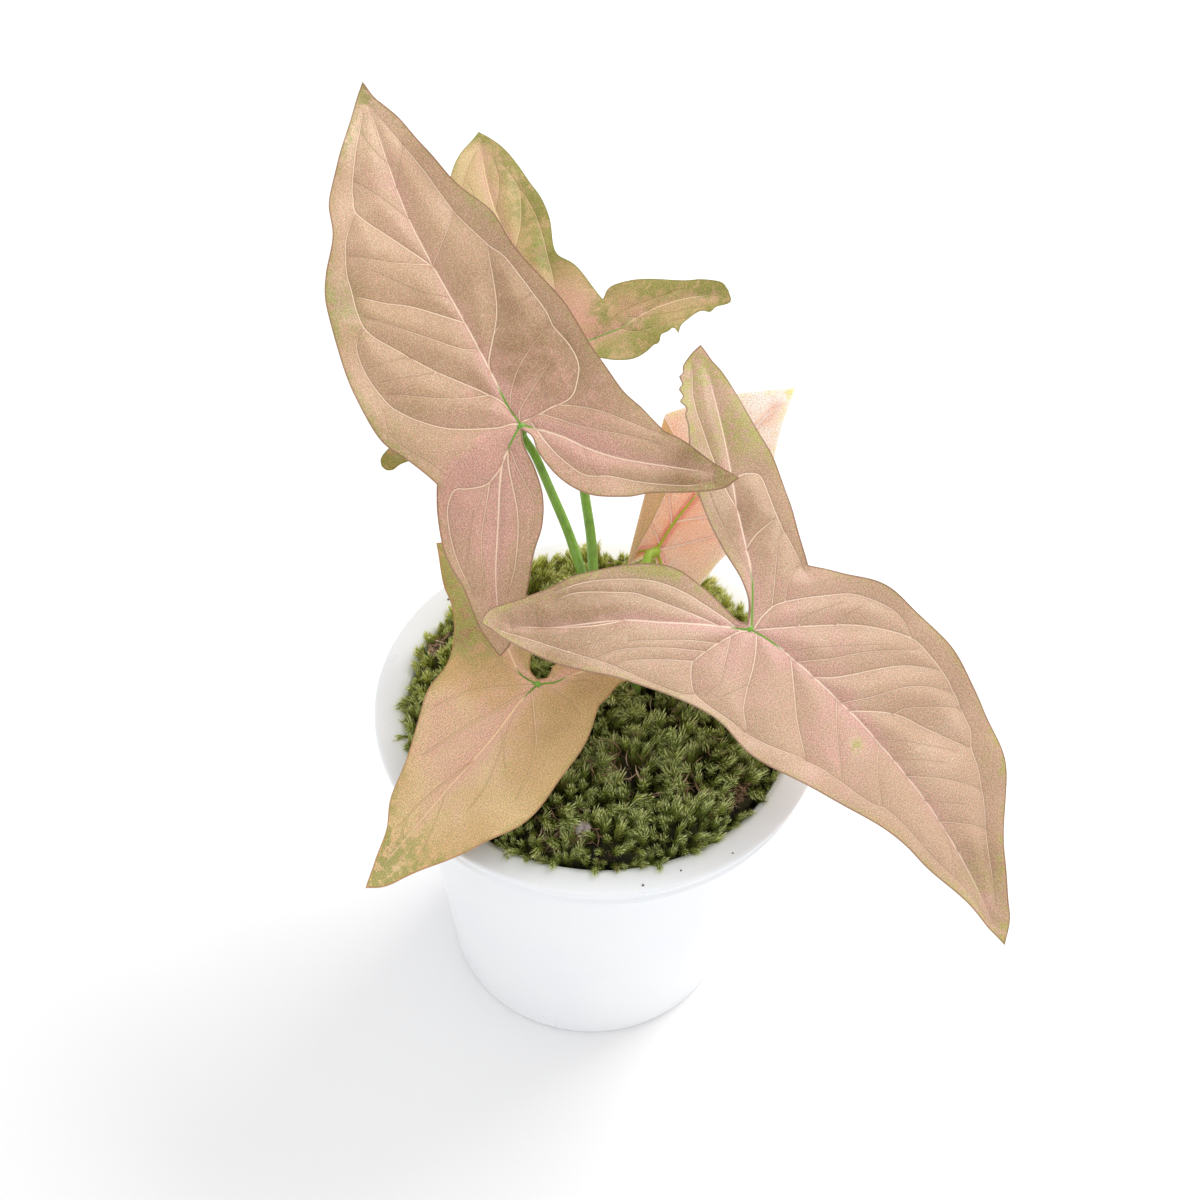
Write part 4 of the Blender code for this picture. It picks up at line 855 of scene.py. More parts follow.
# %% Draw the right leaf
LEAVES["right_leaf"] = {
    "junction": (40.5, -6.5, 156.0), "heading": -36.0, "climb": -26.0, "roll": -10.0,
    "foot": (10.0, -1.0),
    "stalk": [(10.0, -1.0, 123.0), (14.0, -0.8, 132.0), (24.0, -0.8, 143.5), (33.0, -1.8, 150.5)],
    "droop": [(0, -20.0), (75, 0.0), (140, -10.0), (180, -5.0), (220, 3.0), (285, 0.0)],
    "fold": 0.08, "wave": (1.0, 31.0, 2.1), "puff": 1.5, "sap": (11.0, 19.0, 7.0), "relief": 1.0,
    "outline": [
        [(-2.0, 0.2), (-5.0, 4.5), (-12.0, 8.0), (-21.5, 10.0), (-30.0, 13.0), (-43.0, 21.0),
         (-49.9, 27.2), (-52.1, 29.5), (-55.0, 31.6), (-56.1, 33.8), (-58.8, 34.0), (-59.2, 36.2),
         (-61.5, 36.9), (-61.9, 39.0), (-64.0, 39.9), (-64.1, 41.7), (-65.5, 43.4), (-66.4, 48.0),
         (-66.4, 51.6)],
        [(-66.4, 51.6), (-61.7, 51.0), (-56.5, 50.4), (-48.0, 47.8), (-37.5, 43.5), (-27.5, 40.5),
         (-18.0, 35.5),
         (-9.5, 29.5), (-1.5, 25.2)],
        [(-1.5, 25.2), (6.0, 30.0), (16.5, 36.0), (28.5, 38.2), (40.5, 39.0), (52.0, 36.8),
         (61.5, 35.0), (74.5, 31.0), (84.0, 24.0), (94.0, 15.5), (103.0, 9.0), (110.0, 4.5),
         (114.0, -1.0)],
        [(114.0, -1.0), (105.5, -2.2), (97.0, -3.5), (81.0, -7.0), (71.0, -9.0), (57.0, -13.0),
         (39.0, -21.0), (23.5, -26.3), (10.0, -26.8), (-3.0, -31.0), (-15.0, -38.0), (-26.0, -45.5),
         (-38.5, -52.0), (-52.0, -56.0)],
        [(-52.0, -56.0), (-53.0, -51.0), (-49.5, -43.0), (-46.5, -35.5), (-43.5, -25.5),
         (-36.5, -13.5), (-27.5, -4.8), (-18.0, -1.7), (-9.0, -1.4), (-4.5, -1.2), (-2.0, 0.2)],
    ],
    "ribs": [
        [(0.0, 0.0), (7.5, 2.0), (16.0, 3.2), (25.5, 4.1), (35.0, 5.0), (47.5, 5.5), (61.0, 5.6),
         (76.0, 5.0), (92.0, 3.0), (107.0, 0.4)],
        [(0.0, 0.0), (-9.5, 10.5), (-17.5, 16.5), (-26.0, 22.5), (-42.5, 35.5), (-60.0, 48.0)],
        [(0.0, 0.0), (-11.0, -10.0), (-19.0, -18.0), (-27.0, -26.0), (-38.0, -41.0), (-46.5, -50.0)],
    ],
    "strong": [
        [(-26.0, -25.0), (-31.0, -33.0), (-39.5, -43.0), (-45.5, -50.0)],
        [(-7.0, -6.0), (-17.5, -11.0), (-27.0, -16.0), (-30.5, -18.5), (-39.5, -28.5), (-43.0, -36.0)],
        [(-2.0, -2.5), (-12.0, -4.5), (-21.0, -7.0), (-30.5, -13.0), (-39.5, -23.5), (-44.5, -34.0)],
        [(0.0, -0.5), (-2.0, -3.5), (-3.5, -8.5), (-5.0, -18.0), (-4.0, -21.0), (0.5, -25.0), (6.5, -25.4),
         (19.0, -22.5)],
        [(-25.5, 22.5), (-32.5, 24.5), (-46.5, 31.5), (-56.0, 37.5), (-64.0, 46.0)],
        [(-32.5, 28.5), (-32.0, 31.5), (-29.5, 34.5), (-26.5, 34.5), (-14.0, 28.0), (-1.0, 23.4)],
        [(-16.5, 15.6), (-17.5, 21.0), (-17.0, 28.5)],
        [(0.3, 0.8), (-0.5, 6.0), (1.0, 12.5), (10.0, 25.5), (14.5, 29.5), (22.0, 33.0), (26.0, 34.0),
         (30.0, 33.8), (33.0, 32.5)],
        [(1.0, 1.0), (14.0, 17.0), (22.0, 25.0), (33.0, 32.5), (41.0, 33.0), (49.5, 32.0), (60.0, 29.5),
         (63.5, 28.5), (67.0, 25.5), (71.5, 23.6), (81.0, 18.5), (90.5, 12.0), (104.0, 4.0)],
        [(21.0, 3.6), (26.0, 9.0), (36.0, 24.5), (45.0, 32.5)],
        [(34.5, 4.8), (44.0, 14.0), (54.0, 18.8), (67.0, 25.5)],
        [(1.5, 0.5), (6.5, -6.0), (11.5, -15.5), (14.0, -19.0), (19.0, -22.5)],
        [(13.0, 2.6), (20.0, -3.4), (26.5, -9.0), (35.5, -15.0)],
    ],
    "medium": [
        [(-3.5, -9.5), (-11.0, -17.0), (-21.5, -29.0)],
        [(-4.5, -14.0), (-14.0, -23.5), (-21.0, -32.0), (-24.5, -40.0)],
        [(-5.0, -18.5), (-17.0, -32.0), (-19.0, -38.0)], [(-0.5, 9.0), (-6.0, 15.8), (-11.5, 23.0),
         (-13.0, 27.0)],
        [(1.0, 13.0), (-2.0, 17.0), (-3.0, 23.0)],
        [(14.5, 2.8), (20.5, 10.0), (27.0, 20.0), (36.0, 31.0)],
        [(31.5, 4.6), (36.5, 12.5), (42.5, 23.0), (51.5, 31.0)], [(44.0, 14.0), (46.5, 19.0), (56.5, 30.0)],
        [(59.0, 5.8), (68.0, 13.8), (77.0, 20.5)], [(74.5, 5.0), (86.0, 15.0)],
        [(19.0, -22.5), (24.0, -21.0), (29.0, -18.6), (35.5, -15.0), (46.0, -11.6), (57.5, -8.0),
         (62.0, -5.8),
         (80.0, -3.6), (95.0, -1.0), (106.0, -0.8)],
        [(30.0, 4.4), (35.5, -2.0), (46.5, -11.0)], [(47.5, 5.2), (51.0, 0.0), (59.5, -6.5)],
        [(-2.5, -6.0), (1.0, -13.0), (4.0, -19.0), (3.5, -23.5)],
        [(-47.0, -53.0), (-38.0, -47.6), (-23.0, -39.0), (-16.0, -35.6), (-2.0, -28.6), (1.0, -25.6)],
    ],
    "fine": [
        [(-26.5, -28.0), (-26.5, -34.0), (-30.5, -43.5)], [(-10.5, 11.2), (-16.5, 12.6), (-29.0, 16.5),
         (-36.0, 20.5)],
        [(8.5, 10.4), (8.0, 14.0), (12.5, 24.5)], [(15.5, 18.6), (15.5, 22.5), (17.0, 27.5)],
        [(10.5, 2.4), (16.5, 10.0), (28.0, 24.0)], [(45.0, 5.4), (56.0, 14.5), (64.5, 21.5)],
        [(53.0, 5.6), (59.5, 12.0), (64.5, 16.4)], [(67.5, 5.4), (76.5, 13.5)],
        [(77.5, 4.8), (83.5, 2.0), (88.5, -1.0)], [(10.0, -12.5), (7.0, -21.0)],
        [(84.0, 4.0), (90.0, 8.0), (93.0, 9.6)],
    ],
    "light": [(96, 6, 13, -0.4), (43, -1, 2.6, 1.2),
              (-38, -38, 18, -0.8), (30, 26, 14, 0.35), (62, 20, 14, 0.35), (-20, 16, 16, -0.25),
              (-34, 28, 16, -0.35), (-48, -50, 8, -0.5), (-17, 24, 9, -0.35),
              (100, 0, 12, -0.1)],
    "blush": [(0, -4, 18, 0.7), (34, 0, 16, 0.35), (12, 20, 14, 0.3), (40, -10, 14, 0.3)],
    "green": [(-34, -9, 5, 0.4), (-22, -3, 4, 0.4), (-62, 37, 4, 0.7),
              (96, 6, 10, 0.4), (43, -1, 2.0, 1.1), (-50, -47, 5, 0.15), (-46, -33, 5, 0.3),
              (-42, -21, 5, 0.3), (-46, 34, 16, 0.3),
              (-62, 46, 8, 0.6), (-40, 42, 8, 0.5), (-45, 20, 8, 0.5), (-30, -5, 8, 0.5), (74, 30, 8, 0.4),
              (112, 0, 4, 1.0), (-52, -54, 3, 0.2)],
}

# %% Draw the low leaf
LEAVES["low_leaf"] = {
    "junction": (-17.5, -13.0, 136.0), "heading": -133.0, "climb": -18.0, "roll": 2.0,
    "foot": (-11.5, -4.0),
    "stalk": [(-11.5, -4.0, 122.5), (-12.3, -5.6, 127.5)],
    "droop": [(0, -25.0), (75, -5.0), (110, -10.0), (140, -10.0), (180, 10.0), (220, 10.0), (285, 0.0)],
    "fold": 0.08, "wave": (0.8, 24.0, 1.2), "puff": 0.9, "sap": (6.0, 9.0, 10.0), "relief": 0.8,
    "outline": [
        [(-1.2, -0.8), (-3.5, 1.0), (-7.0, 0.2), (-11.0, 1.5), (-16.0, 4.0), (-22.0, 10.0),
         (-27.0, 19.0), (-28.0, 29.5)],
        [(-28.0, 29.5), (-22.0, 22.5), (-15.5, 18.2), (-10.5, 18.4), (-6.0, 18.8)],
        [(-6.0, 18.8), (2.0, 22.5), (12.0, 25.0), (24.0, 26.5), (34.0, 25.0), (44.0, 20.0),
         (52.0, 15.0), (61.0, 9.5), (68.0, 4.8), (72.0, 0.0)],
        [(72.0, 0.0), (65.0, -2.6), (57.0, -5.2), (50.0, -10.0), (41.0, -12.5), (31.0, -17.5),
         (22.0, -21.5), (13.0, -22.8), (5.0, -27.5), (-1.0, -34.0), (-5.0, -42.0), (-12.5, -52.0)],
        [(-12.5, -52.0), (-19.0, -45.0), (-21.0, -35.0), (-18.0, -23.0), (-12.0, -12.5),
         (-6.0, -7.5), (-2.0, -4.5), (-1.2, -0.8)],
    ],
    "ribs": [
        [(0.0, 0.0), (7.0, 0.0), (20.5, 1.3), (37.0, 1.0), (52.0, 0.6), (66.0, -0.2)],
        [(0.0, 0.0), (0.5, -6.5), (-3.0, -15.0), (-6.0, -26.0), (-9.0, -38.0), (-11.5, -47.0)],
        [(0.0, 0.0), (-4.0, 3.5), (-10.0, 6.5), (-18.0, 13.0), (-25.0, 25.0)],
    ],
    "strong": [
        [(0.8, -0.5), (9.5, -9.4), (13.5, -12.6), (17.5, -15.0), (23.0, -17.5)],
        [(2.0, 0.2), (13.0, -3.6), (23.5, -7.5), (35.5, -11.0)],
        [(2.0, 0.2), (11.5, 11.0), (15.0, 14.0), (20.5, 17.0), (28.0, 19.0)],
    ],
    "medium": [
        [(0.3, 0.5), (-1.5, 5.0), (-2.0, 11.5), (-1.0, 16.5)], [(-3.0, 3.5), (-10.0, 10.5)],
        [(27.5, 1.2), (44.5, -2.4), (54.0, -3.4)], [(0.3, -3.0), (2.0, -12.0), (0.0, -24.0)],
    ],
    "fine": [
        [(15.5, 1.0), (19.0, 5.0), (24.0, 7.5), (31.0, 10.0), (39.0, 10.5)], [(38.0, 1.0), (47.0, 5.0),
         (55.0, 7.5)],
        [(-1.5, -5.0), (-6.0, -14.0), (-12.0, -26.0), (-15.0, -38.0)], [(-3.0, -15.0), (-1.5, -24.0),
         (-5.0, -34.0)],
        [(-8.0, 5.0), (-14.0, 12.6), (-19.0, 17.0)], [(7.0, 0.2), (17.5, 4.6), (25.0, 12.5)],
    ],
    # The dark patch at (-1, -35), together with the green patch at (-1, -34), is painted shadow of the upper
    # leaf above, in a greenish grey.
    "light": [(29, -10, 12, 0.4), (47, 3, 12, 0.3), (-1, -35, 11, -1.3),
              (30, 10, 16, 0.45), (22, -16, 10, 0.7), (26, -6, 12, 0.5), (-4, -30, 20, -0.55),
              (8, 10, 10, -0.35), (50, 2, 14, 0.3), (-10, 10, 8, -0.3), (66, 1, 9, 1.0)],
    "blush": [(28, -12, 14, 0.8), (12, 0, 12, 0.5), (34, 4, 12, 0.3)],
    "green": [(-1, -34, 12, 1.0), (1, -21, 9, 0.6), (65, 1, 11, 0.4),
              (-13, -48, 8, 0.9), (-6, -34, 8, 0.4), (60, 3, 14, 0.5), (71, 0, 4, 1.0), (-26, 26, 6, 0.7)],
}

# %% Draw the rear leaf
LEAVES["rear_leaf"] = {
    "junction": (-14.0, 74.0, 180.0), "heading": 111.0, "climb": 16.0, "roll": 3.0,
    "foot": (-3.0, 15.0),
    "stalk": [(-3.0, 15.0, 122.5), (-2.8, 23.0, 130.5), (-4.2, 35.0, 141.7), (-6.7, 44.7, 151.2),
              (-10.0, 58.0, 163.0)],
    "droop": [(0, -15.0), (75, 10.0), (120, 10.0), (240, 10.0), (285, 10.0)],
    "fold": 0.08, "wave": (0.9, 26.0, 0.0), "puff": 1.1, "sap": (5.0, 24.0, 5.0), "relief": 0.8,
    "outline": [
        [(-2.0, 0.0), (-6.0, 6.0), (-11.0, 15.0), (-16.0, 27.0), (-20.0, 38.0), (-23.5, 50.0),
         (-24.4, 55.5), (-25.9, 58.2), (-25.6, 60.2), (-24.0, 61.1)],
        [(-24.0, 61.1), (-21.8, 60.8), (-19.8, 59.0), (-17.0, 55.0), (-14.0, 51.0), (-9.0, 42.0),
         (-5.0, 32.0), (-3.0, 23.0)],
        [(-3.0, 23.0), (6.0, 25.0), (20.0, 26.0), (34.0, 24.5), (46.0, 22.0), (58.0, 18.0),
         (68.0, 13.5), (76.0, 8.0), (83.0, 0.5)],
        [(83.0, 0.5), (78.0, -2.6), (68.0, -6.0), (58.0, -8.0), (44.0, -9.0), (32.0, -7.2),
         (24.0, -11.0), (12.0, -15.0)],
        [(12.0, -15.0), (14.9, -18.0), (14.5, -23.9), (12.7, -31.1), (9.8, -39.3), (8.6, -43.4),
         (5.9, -48.4), (2.8, -49.6)],
        [(2.8, -49.6), (-0.8, -49.1), (-0.6, -45.0), (-1.6, -42.8), (-0.4, -40.5), (-1.3, -37.0),
         (-2.4, -34.7), (-3.5, -33.2), (-5.6, -31.9)],
        [(-5.6, -31.9), (-3.3, -31.1), (-4.0, -29.4), (-4.2, -27.2), (-6.2, -26.0), (-6.4, -24.3),
         (-7.8, -21.3), (-8.8, -17.1), (-7.9, -11.5), (-4.5, -5.0), (-2.0, 0.0)],
    ],
    "ribs": [
        [(0.0, 0.0), (12.0, 1.5), (28.0, 3.5), (50.0, 5.0), (64.0, 4.0), (78.0, 1.4)],
        [(0.0, 0.0), (1.0, -7.0), (2.0, -17.0), (4.5, -26.0), (5.0, -36.0), (3.5, -45.5)],
        [(0.0, 0.0), (-4.0, 12.0), (-9.0, 26.0), (-15.0, 40.0), (-21.5, 55.0)],
    ],
    "strong": [
        [(0.0, 0.0), (4.0, 13.0), (16.0, 22.0)], [(12.0, 1.5), (21.0, 12.0), (36.0, 20.0)],
        [(28.0, 3.5), (40.0, 12.0), (54.0, 16.0)], [(12.0, 1.5), (20.0, -3.0), (30.0, -4.5)],
        [(36.0, 4.2), (46.0, -1.0), (58.0, -4.5)],
    ],
    "medium": [
        [(16.0, 22.0), (28.0, 21.5), (42.0, 19.0), (54.0, 16.0), (66.0, 10.0), (76.0, 3.4)],
        [(30.0, -4.5), (44.0, -5.6), (58.0, -4.6), (70.0, -1.6)],
        [(1.0, -9.0), (4.5, -15.0), (7.0, -22.0), (8.0, -37.0)], [(2.0, -17.0), (-1.0, -22.0),
         (-1.2, -36.0)],
        [(52.0, 4.8), (62.0, 0.6), (72.0, -0.6)],
    ],
    "fine": [
        [(4.5, -26.0), (7.5, -31.0), (8.0, -38.0)], [(-6.0, 12.0), (-10.0, 24.0), (-16.0, 38.0)],
        [(4.5, -20.0), (2.0, -30.0), (1.0, -42.0)], [(46.0, 4.8), (56.0, 9.0), (64.0, 10.0)],
    ],
    "light": [(-23, 59, 6, -0.8), (31, -4, 7, -0.7), (19, -4, 9, 1.2),
              (76, 4, 12, 0.4), (58, 10, 14, 0.3), (26, -4, 10, -0.3), (0, -12, 8, -0.3)],
    "blush": [(19, -4, 9, 0.5),
              (64, 4, 10, 0.4), (8, -2, 9, 0.7), (5, -18, 8, 0.3), (10, -10, 6, 0.4)],
    "green": [(-23, 59, 5, 1.4), (31, -5, 7, 0.6), (14, -28, 6, 0.8), (9, -43, 5, 0.8),
              (50, -7, 9, 0.9), (66, -5, 8, 0.7), (82, 0, 4, 1.2), (8, -14, 5, 0.8), (-3, -24, 7, 1.0),
              (12, -34, 6, 0.8), (3, -48, 7, 0.7), (-6, -10, 6, 0.7), (34, -6, 7, 0.6)],
}

# %% Draw the young leaf
LEAVES["young_leaf"] = {
    "junction": (15.0, 40.0, 134.0), "heading": 36.0, "climb": 44.0, "roll": 158.0,
    "foot": (10.0, 12.0),
    "stalk": [(10.0, 12.0, 120.5), (10.1, 13.2, 125.0), (10.8, 24.0, 130.8)],
    "droop": [(0, 10.0), (75, 0.0), (140, 0.0), (180, 0.0), (220, 0.0), (285, 0.0)],
    "fold": -0.08, "wave": (0.6, 22.0, 0.7), "puff": 0.4, "sap": (26.0, 9.0, 9.0), "relief": 0.5,
    "curl": {"start": (18.0, -14.0), "end": (-8.0, -1.5), "radius": 2.2, "turn": -150.0},
    "outline": [
        [(-1.5, 0.0), (-4.5, 4.0), (-8.0, 9.5), (-9.5, 15.0)],
        [(-9.5, 15.0), (-4.0, 15.6), (2.0, 16.2), (10.0, 16.2), (18.0, 17.0), (27.0, 15.5),
         (35.0, 12.5), (43.0, 8.4), (50.0, 4.8), (61.5, 0.0)],
        [(61.5, 0.0), (55.0, -6.5), (48.0, -12.8), (40.0, -18.5), (34.0, -22.3), (27.0, -27.0),
         (20.0, -29.0), (12.0, -26.5), (4.5, -20.5), (-3.5, -13.0), (-11.0, -6.0)],
        [(-11.0, -6.0), (-7.5, -3.0), (-4.5, -1.6), (-1.5, 0.0)],
    ],
    "ribs": [
        [(0.0, 0.0), (8.5, -1.2), (20.0, -1.5), (39.0, -1.4), (56.0, -0.4)],
        [(0.0, 0.0), (-3.0, 5.5), (-6.5, 11.5)],
        [(0.0, 0.0), (-3.5, -3.6), (-8.5, -6.0)],
    ],
    "strong": [
        [(0.0, 0.0), (8.0, 6.0), (16.0, 11.5)], [(10.0, -1.2), (19.0, 6.0), (31.0, 9.0)],
        [(2.0, -0.5), (4.5, -6.0), (9.0, -14.5)], [(8.5, -1.2), (15.0, -8.0), (25.0, -14.0)],
    ],
    "medium": [
        [(24.0, -1.5), (34.0, 4.0), (44.0, 5.0)], [(20.0, -1.5), (29.0, -9.0), (39.0, -13.0)],
    ],
    "fine": [
        [(34.0, -1.5), (42.0, -6.0), (50.0, -8.0)], [(2.0, 13.0), (16.0, 12.8), (31.0, 10.6), (44.0, 6.0)],
    ],
    "light": [(50, -4, 18, 0.8), (10, -14, 8, 0.2), (16, 2, 9, -0.3)],
    "blush": [(12, 3, 8, 0.8), (22, -6, 10, 0.4), (40, 8, 12, 0.3)],
    "green": [(61, 0, 2.5, 0.8)],
}
print(len(LEAVES), "leaves drawn")

# %% [markdown]
# ### From points to smooth lines
#
# The drawing holds only the points that its shape needs. `smooth_run` passes a curve through them and
# cuts it into even steps. Each vein is thickest where it starts and fades out at its end, so a line of
# three columns is kept for it: p, q, and its strength there.

# %% Smooth lines and tapering veins
OUTLINE_STEP = 0.95
LINE_STEP = 1.1
SHEET_STEP = 1.25
YOUNG_STEP = 0.8


def smooth_run(points, step):
    """Points about one step apart on a smooth curve through the given points."""
    knots = np.array(points, float)
    padded = np.vstack([2.0 * knots[0] - knots[1], knots, 2.0 * knots[-1] - knots[-2]])
    fine = []
    for i in range(1, len(padded) - 2):
        a, b, c, d = padded[i - 1:i + 3]
        for t in np.linspace(0.0, 1.0, 12, endpoint=False):
            bend = 2.0 * a - 5.0 * b + 4.0 * c - d
            twist = 3.0 * (b - c) + d - a
            fine.append(0.5 * (2.0 * b + (c - a) * t + bend * t * t + twist * t * t * t))
    fine = np.array(fine + [knots[-1]])
    along = np.concatenate([[0.0], np.cumsum(np.linalg.norm(np.diff(fine, axis=0), axis=1))])
    stations = np.linspace(0.0, along[-1], max(1, round(along[-1] / step)) + 1)
    return np.stack([np.interp(stations, along, fine[:, k]) for k in range(fine.shape[1])], axis=1)


def tapered(points, start, end):
    """A vein as p, q and strength. It fades over its last tenth."""
    line = smooth_run(points, LINE_STEP)
    share = np.linspace(0.0, 1.0, len(line))
    strength = (start + (end - start) * share) * np.clip((1.0 - share) / 0.1, 0.0, 1.0) ** 0.5
    return np.column_stack([line, strength])


# %% [markdown]
# ### The flat sheet
#
# The outline and the veins are cut into triangles in which every vein is an edge. A crease in the leaf
# then lies just on its vein, and a colour that depends on the distance to a vein comes out sharp. That
# only works if no triangle has all its corners on veins, so a second cut puts a point in the middle of
# each edge that jumps from one vein to another.

# %% Measure and cut the flat drawing
def nearness(points, lines, width):
    """How far each point is from the nearest line, in widths. A weaker line counts as further away."""
    nearest = np.full(len(points), 40.0)
    for line in lines:
        for a, b in zip(line[:-1], line[1:]):
            side = b[:2] - a[:2]
            share = np.clip(((points - a[:2]) @ side) / max(side @ side, 1e-9), 0.0, 1.0)
            away = np.hypot(*(points - (a[:2] + share[:, None] * side)).T)
            strength = a[2] + share * (b[2] - a[2])
            np.minimum(nearest, away / width + 1.3 * (1.0 - strength), out=nearest)
    return nearest


def distance_to(points, lines):
    """How far each point is from the nearest of the lines, in millimetres."""
    whole = [np.column_stack([line[:, :2], np.ones(len(line))]) for line in lines]
    return nearness(points, whole, 1.0)


def inside(points, loop):
    """Which points lie inside the loop, by counting the edges they see to one side."""
    result = np.zeros(len(points), bool)
    for a, b in zip(loop, np.roll(loop, -1, axis=0)):
        spans = (a[1] > points[:, 1]) != (b[1] > points[:, 1])
        reach = (b[0] - a[0]) * (points[:, 1] - a[1]) / (b[1] - a[1] + 1e-12) + a[0]
        result ^= spans & (points[:, 0] < reach)
    return result


def beside(line, away):
    """Points that run alongside a line, kept off its ends."""
    ahead = np.gradient(line[:, :2], axis=0)
    ahead /= np.linalg.norm(ahead, axis=1)[:, None]
    return (line[:, :2] + away * np.stack([-ahead[:, 1], ahead[:, 0]], axis=1))[1:-1]


def triangulated(loop, lines, extra):
    """Triangles that fill the loop and keep to the lines, with the extra points among them."""
    points = [Vector(point) for point in loop]
    edges = []
    for line in lines:
        first = len(points)
        points += [Vector(point[:2]) for point in line]
        edges += [(first + i, first + i + 1) for i in range(len(line) - 1)]
    points += [Vector(point) for point in extra]
    found = geometry.delaunay_2d_cdt(points, edges, [list(range(len(loop)))], 1, 1e-3)
    return np.array([tuple(point) for point in found[0]]), np.array([tuple(face) for face in found[2]])


def finder(points):
    """A tree that quickly finds which flat point is nearest to a spot."""
    tree = KDTree(len(points))
    for number, (x, y) in enumerate(points):
        tree.insert((x, y, 0.0), number)
    tree.balance()
    return tree


def cut_sheet(loop, lines, guides, step):
    """Flat points and triangles that fill the loop and keep to the lines."""
    low, high = loop.min(axis=0), loop.max(axis=0)
    fixed = [np.vstack([loop, loop[:1]])] + lines
    guides = guides[inside(guides, loop)]
    guides = guides[distance_to(guides, fixed) > 0.45]
    grid = []
    for number, q in enumerate(np.arange(low[1], high[1], step * 0.87)):
        grid += [(p, q) for p in np.arange(low[0] + 0.5 * step * (number % 2), high[0], step)]
    grid = np.array(grid)
    grid = grid[inside(grid, loop)]
    grid = grid[distance_to(grid, fixed) > 0.5 * step]
    tree = finder(guides)
    apart = np.array([tree.find((x, y, 0.0))[2] > 0.5 * step for x, y in grid])
    extra = np.vstack([guides, grid[apart]])
    flat, triangles = triangulated(loop, lines, extra)
    near = distance_to(flat, fixed) < 0.05
    pairs = np.vstack([triangles[:, [0, 1]], triangles[:, [1, 2]], triangles[:, [2, 0]]])
    pairs = np.unique(np.sort(pairs, axis=1), axis=0)
    pairs = pairs[near[pairs[:, 0]] & near[pairs[:, 1]]]
    middles = (flat[pairs[:, 0]] + flat[pairs[:, 1]]) / 2.0
    middles = middles[distance_to(middles, fixed) > 0.14]
    return triangulated(loop, lines, np.vstack([extra, middles]))


# %% [markdown]
# ### Lifting the sheet
#
# The flat sheet gets its height in layers, from large to small: how the blade droops in each direction,
# the shallow trough along the midrib, the waves that fade away from the margin, a crease where one lobe
# hangs lower than the blade, and the quilting between the veins, which lie in grooves. The young leaf is
# also rolled over along a line, as it is still opening.

# %% Lift, curl and place the sheet
FOLD_SOFTNESS = 4.0
FOLD_START = 6.0
WAVE_REACH = 9.0
WAVE_CALM = 12.0
PUFF_REACH = 4.0
FINE_PUFF = 0.28
CREASE_DEPTH = 4.6
FINE_REACH = 1.6
RIB_GROOVE = 0.5
VEIN_GROOVE = 0.36


def droop_at(leaf, angle):
    """The rise 100 mm out in a direction, eased between the directions that are given."""
    marks = leaf["droop"] + [(leaf["droop"][0][0] + 360, leaf["droop"][0][1])]
    turn = np.degrees(angle) % 360.0
    rise = np.zeros_like(turn)
    for (a, low), (b, high) in zip(marks[:-1], marks[1:]):
        ease = (1.0 - np.cos(np.pi * (turn - a) / (b - a))) / 2.0
        rise = np.where((turn >= a) & (turn <= b), low + (high - low) * ease, rise)
    return rise


def past_crease(leaf, flat):
    """Which points lie on the far side of the crease, seen from the leaf's tip."""
    crease = smooth_run(leaf["crease"], LINE_STEP)
    nearest = np.argmin(np.hypot(flat[:, :1] - crease[:, 0], flat[:, 1:] - crease[:, 1]), axis=1)
    ahead = np.gradient(crease, axis=0)[nearest]
    away = flat - crease[nearest]
    return (ahead[:, 0] * away[:, 1] - ahead[:, 1] * away[:, 0] > 0.0) & (flat[:, 1] > 0.0)


def blade_rise(leaf, flat, loop, gaps):
    """How far the middle of the blade stands above the drawing's plane."""
    p, q = flat.T
    rise = droop_at(leaf, np.arctan2(q, p)) * (np.hypot(p, q) / 100.0) ** 2
    rise += leaf["fold"] * (np.hypot(q, FOLD_SOFTNESS) - FOLD_SOFTNESS) / (1.0 + np.exp(-p / FOLD_START))
    height, length, start = leaf["wave"]
    tree = finder(loop)
    steps = np.linalg.norm(np.roll(loop, -1, axis=0) - loop, axis=1)
    along = np.cumsum(steps) - steps[0]
    nearest = [tree.find((x, y, 0.0))[1] for x, y in flat]
    swing = np.sin(2.0 * np.pi * along[nearest] / length + start)
    calm = np.minimum(gaps["rib"] / WAVE_CALM, 1.0)
    rise += height * swing * np.exp(-gaps["margin"] / WAVE_REACH) * calm
    if "crease" in leaf:
        beyond = past_crease(leaf, flat) * gaps["crease"] * np.clip(q / 9.0, 0.0, 1.0)
        rise -= CREASE_DEPTH * np.clip(np.hypot(p, q) / 28.0, 0.0, 1.0) * (1.0 - np.exp(-beyond / 1.8))
    rise += leaf["puff"] * (1.0 - np.exp(-(np.minimum(gaps["rib"], gaps["strong"]) / PUFF_REACH) ** 2))
    rise += FINE_PUFF * (1.0 - np.exp(-(gaps["medium"] / FINE_REACH) ** 2))
    rise -= RIB_GROOVE * np.exp(-(gaps["rib"] / 0.9) ** 2)
    rise -= VEIN_GROOVE * leaf["relief"] * np.exp(-(gaps["strong"] / 0.8) ** 2)
    thread = np.minimum(gaps["medium"], gaps["fine"])
    rise -= 0.6 * VEIN_GROOVE * leaf["relief"] * np.exp(-(thread / 0.7) ** 2)
    return rise


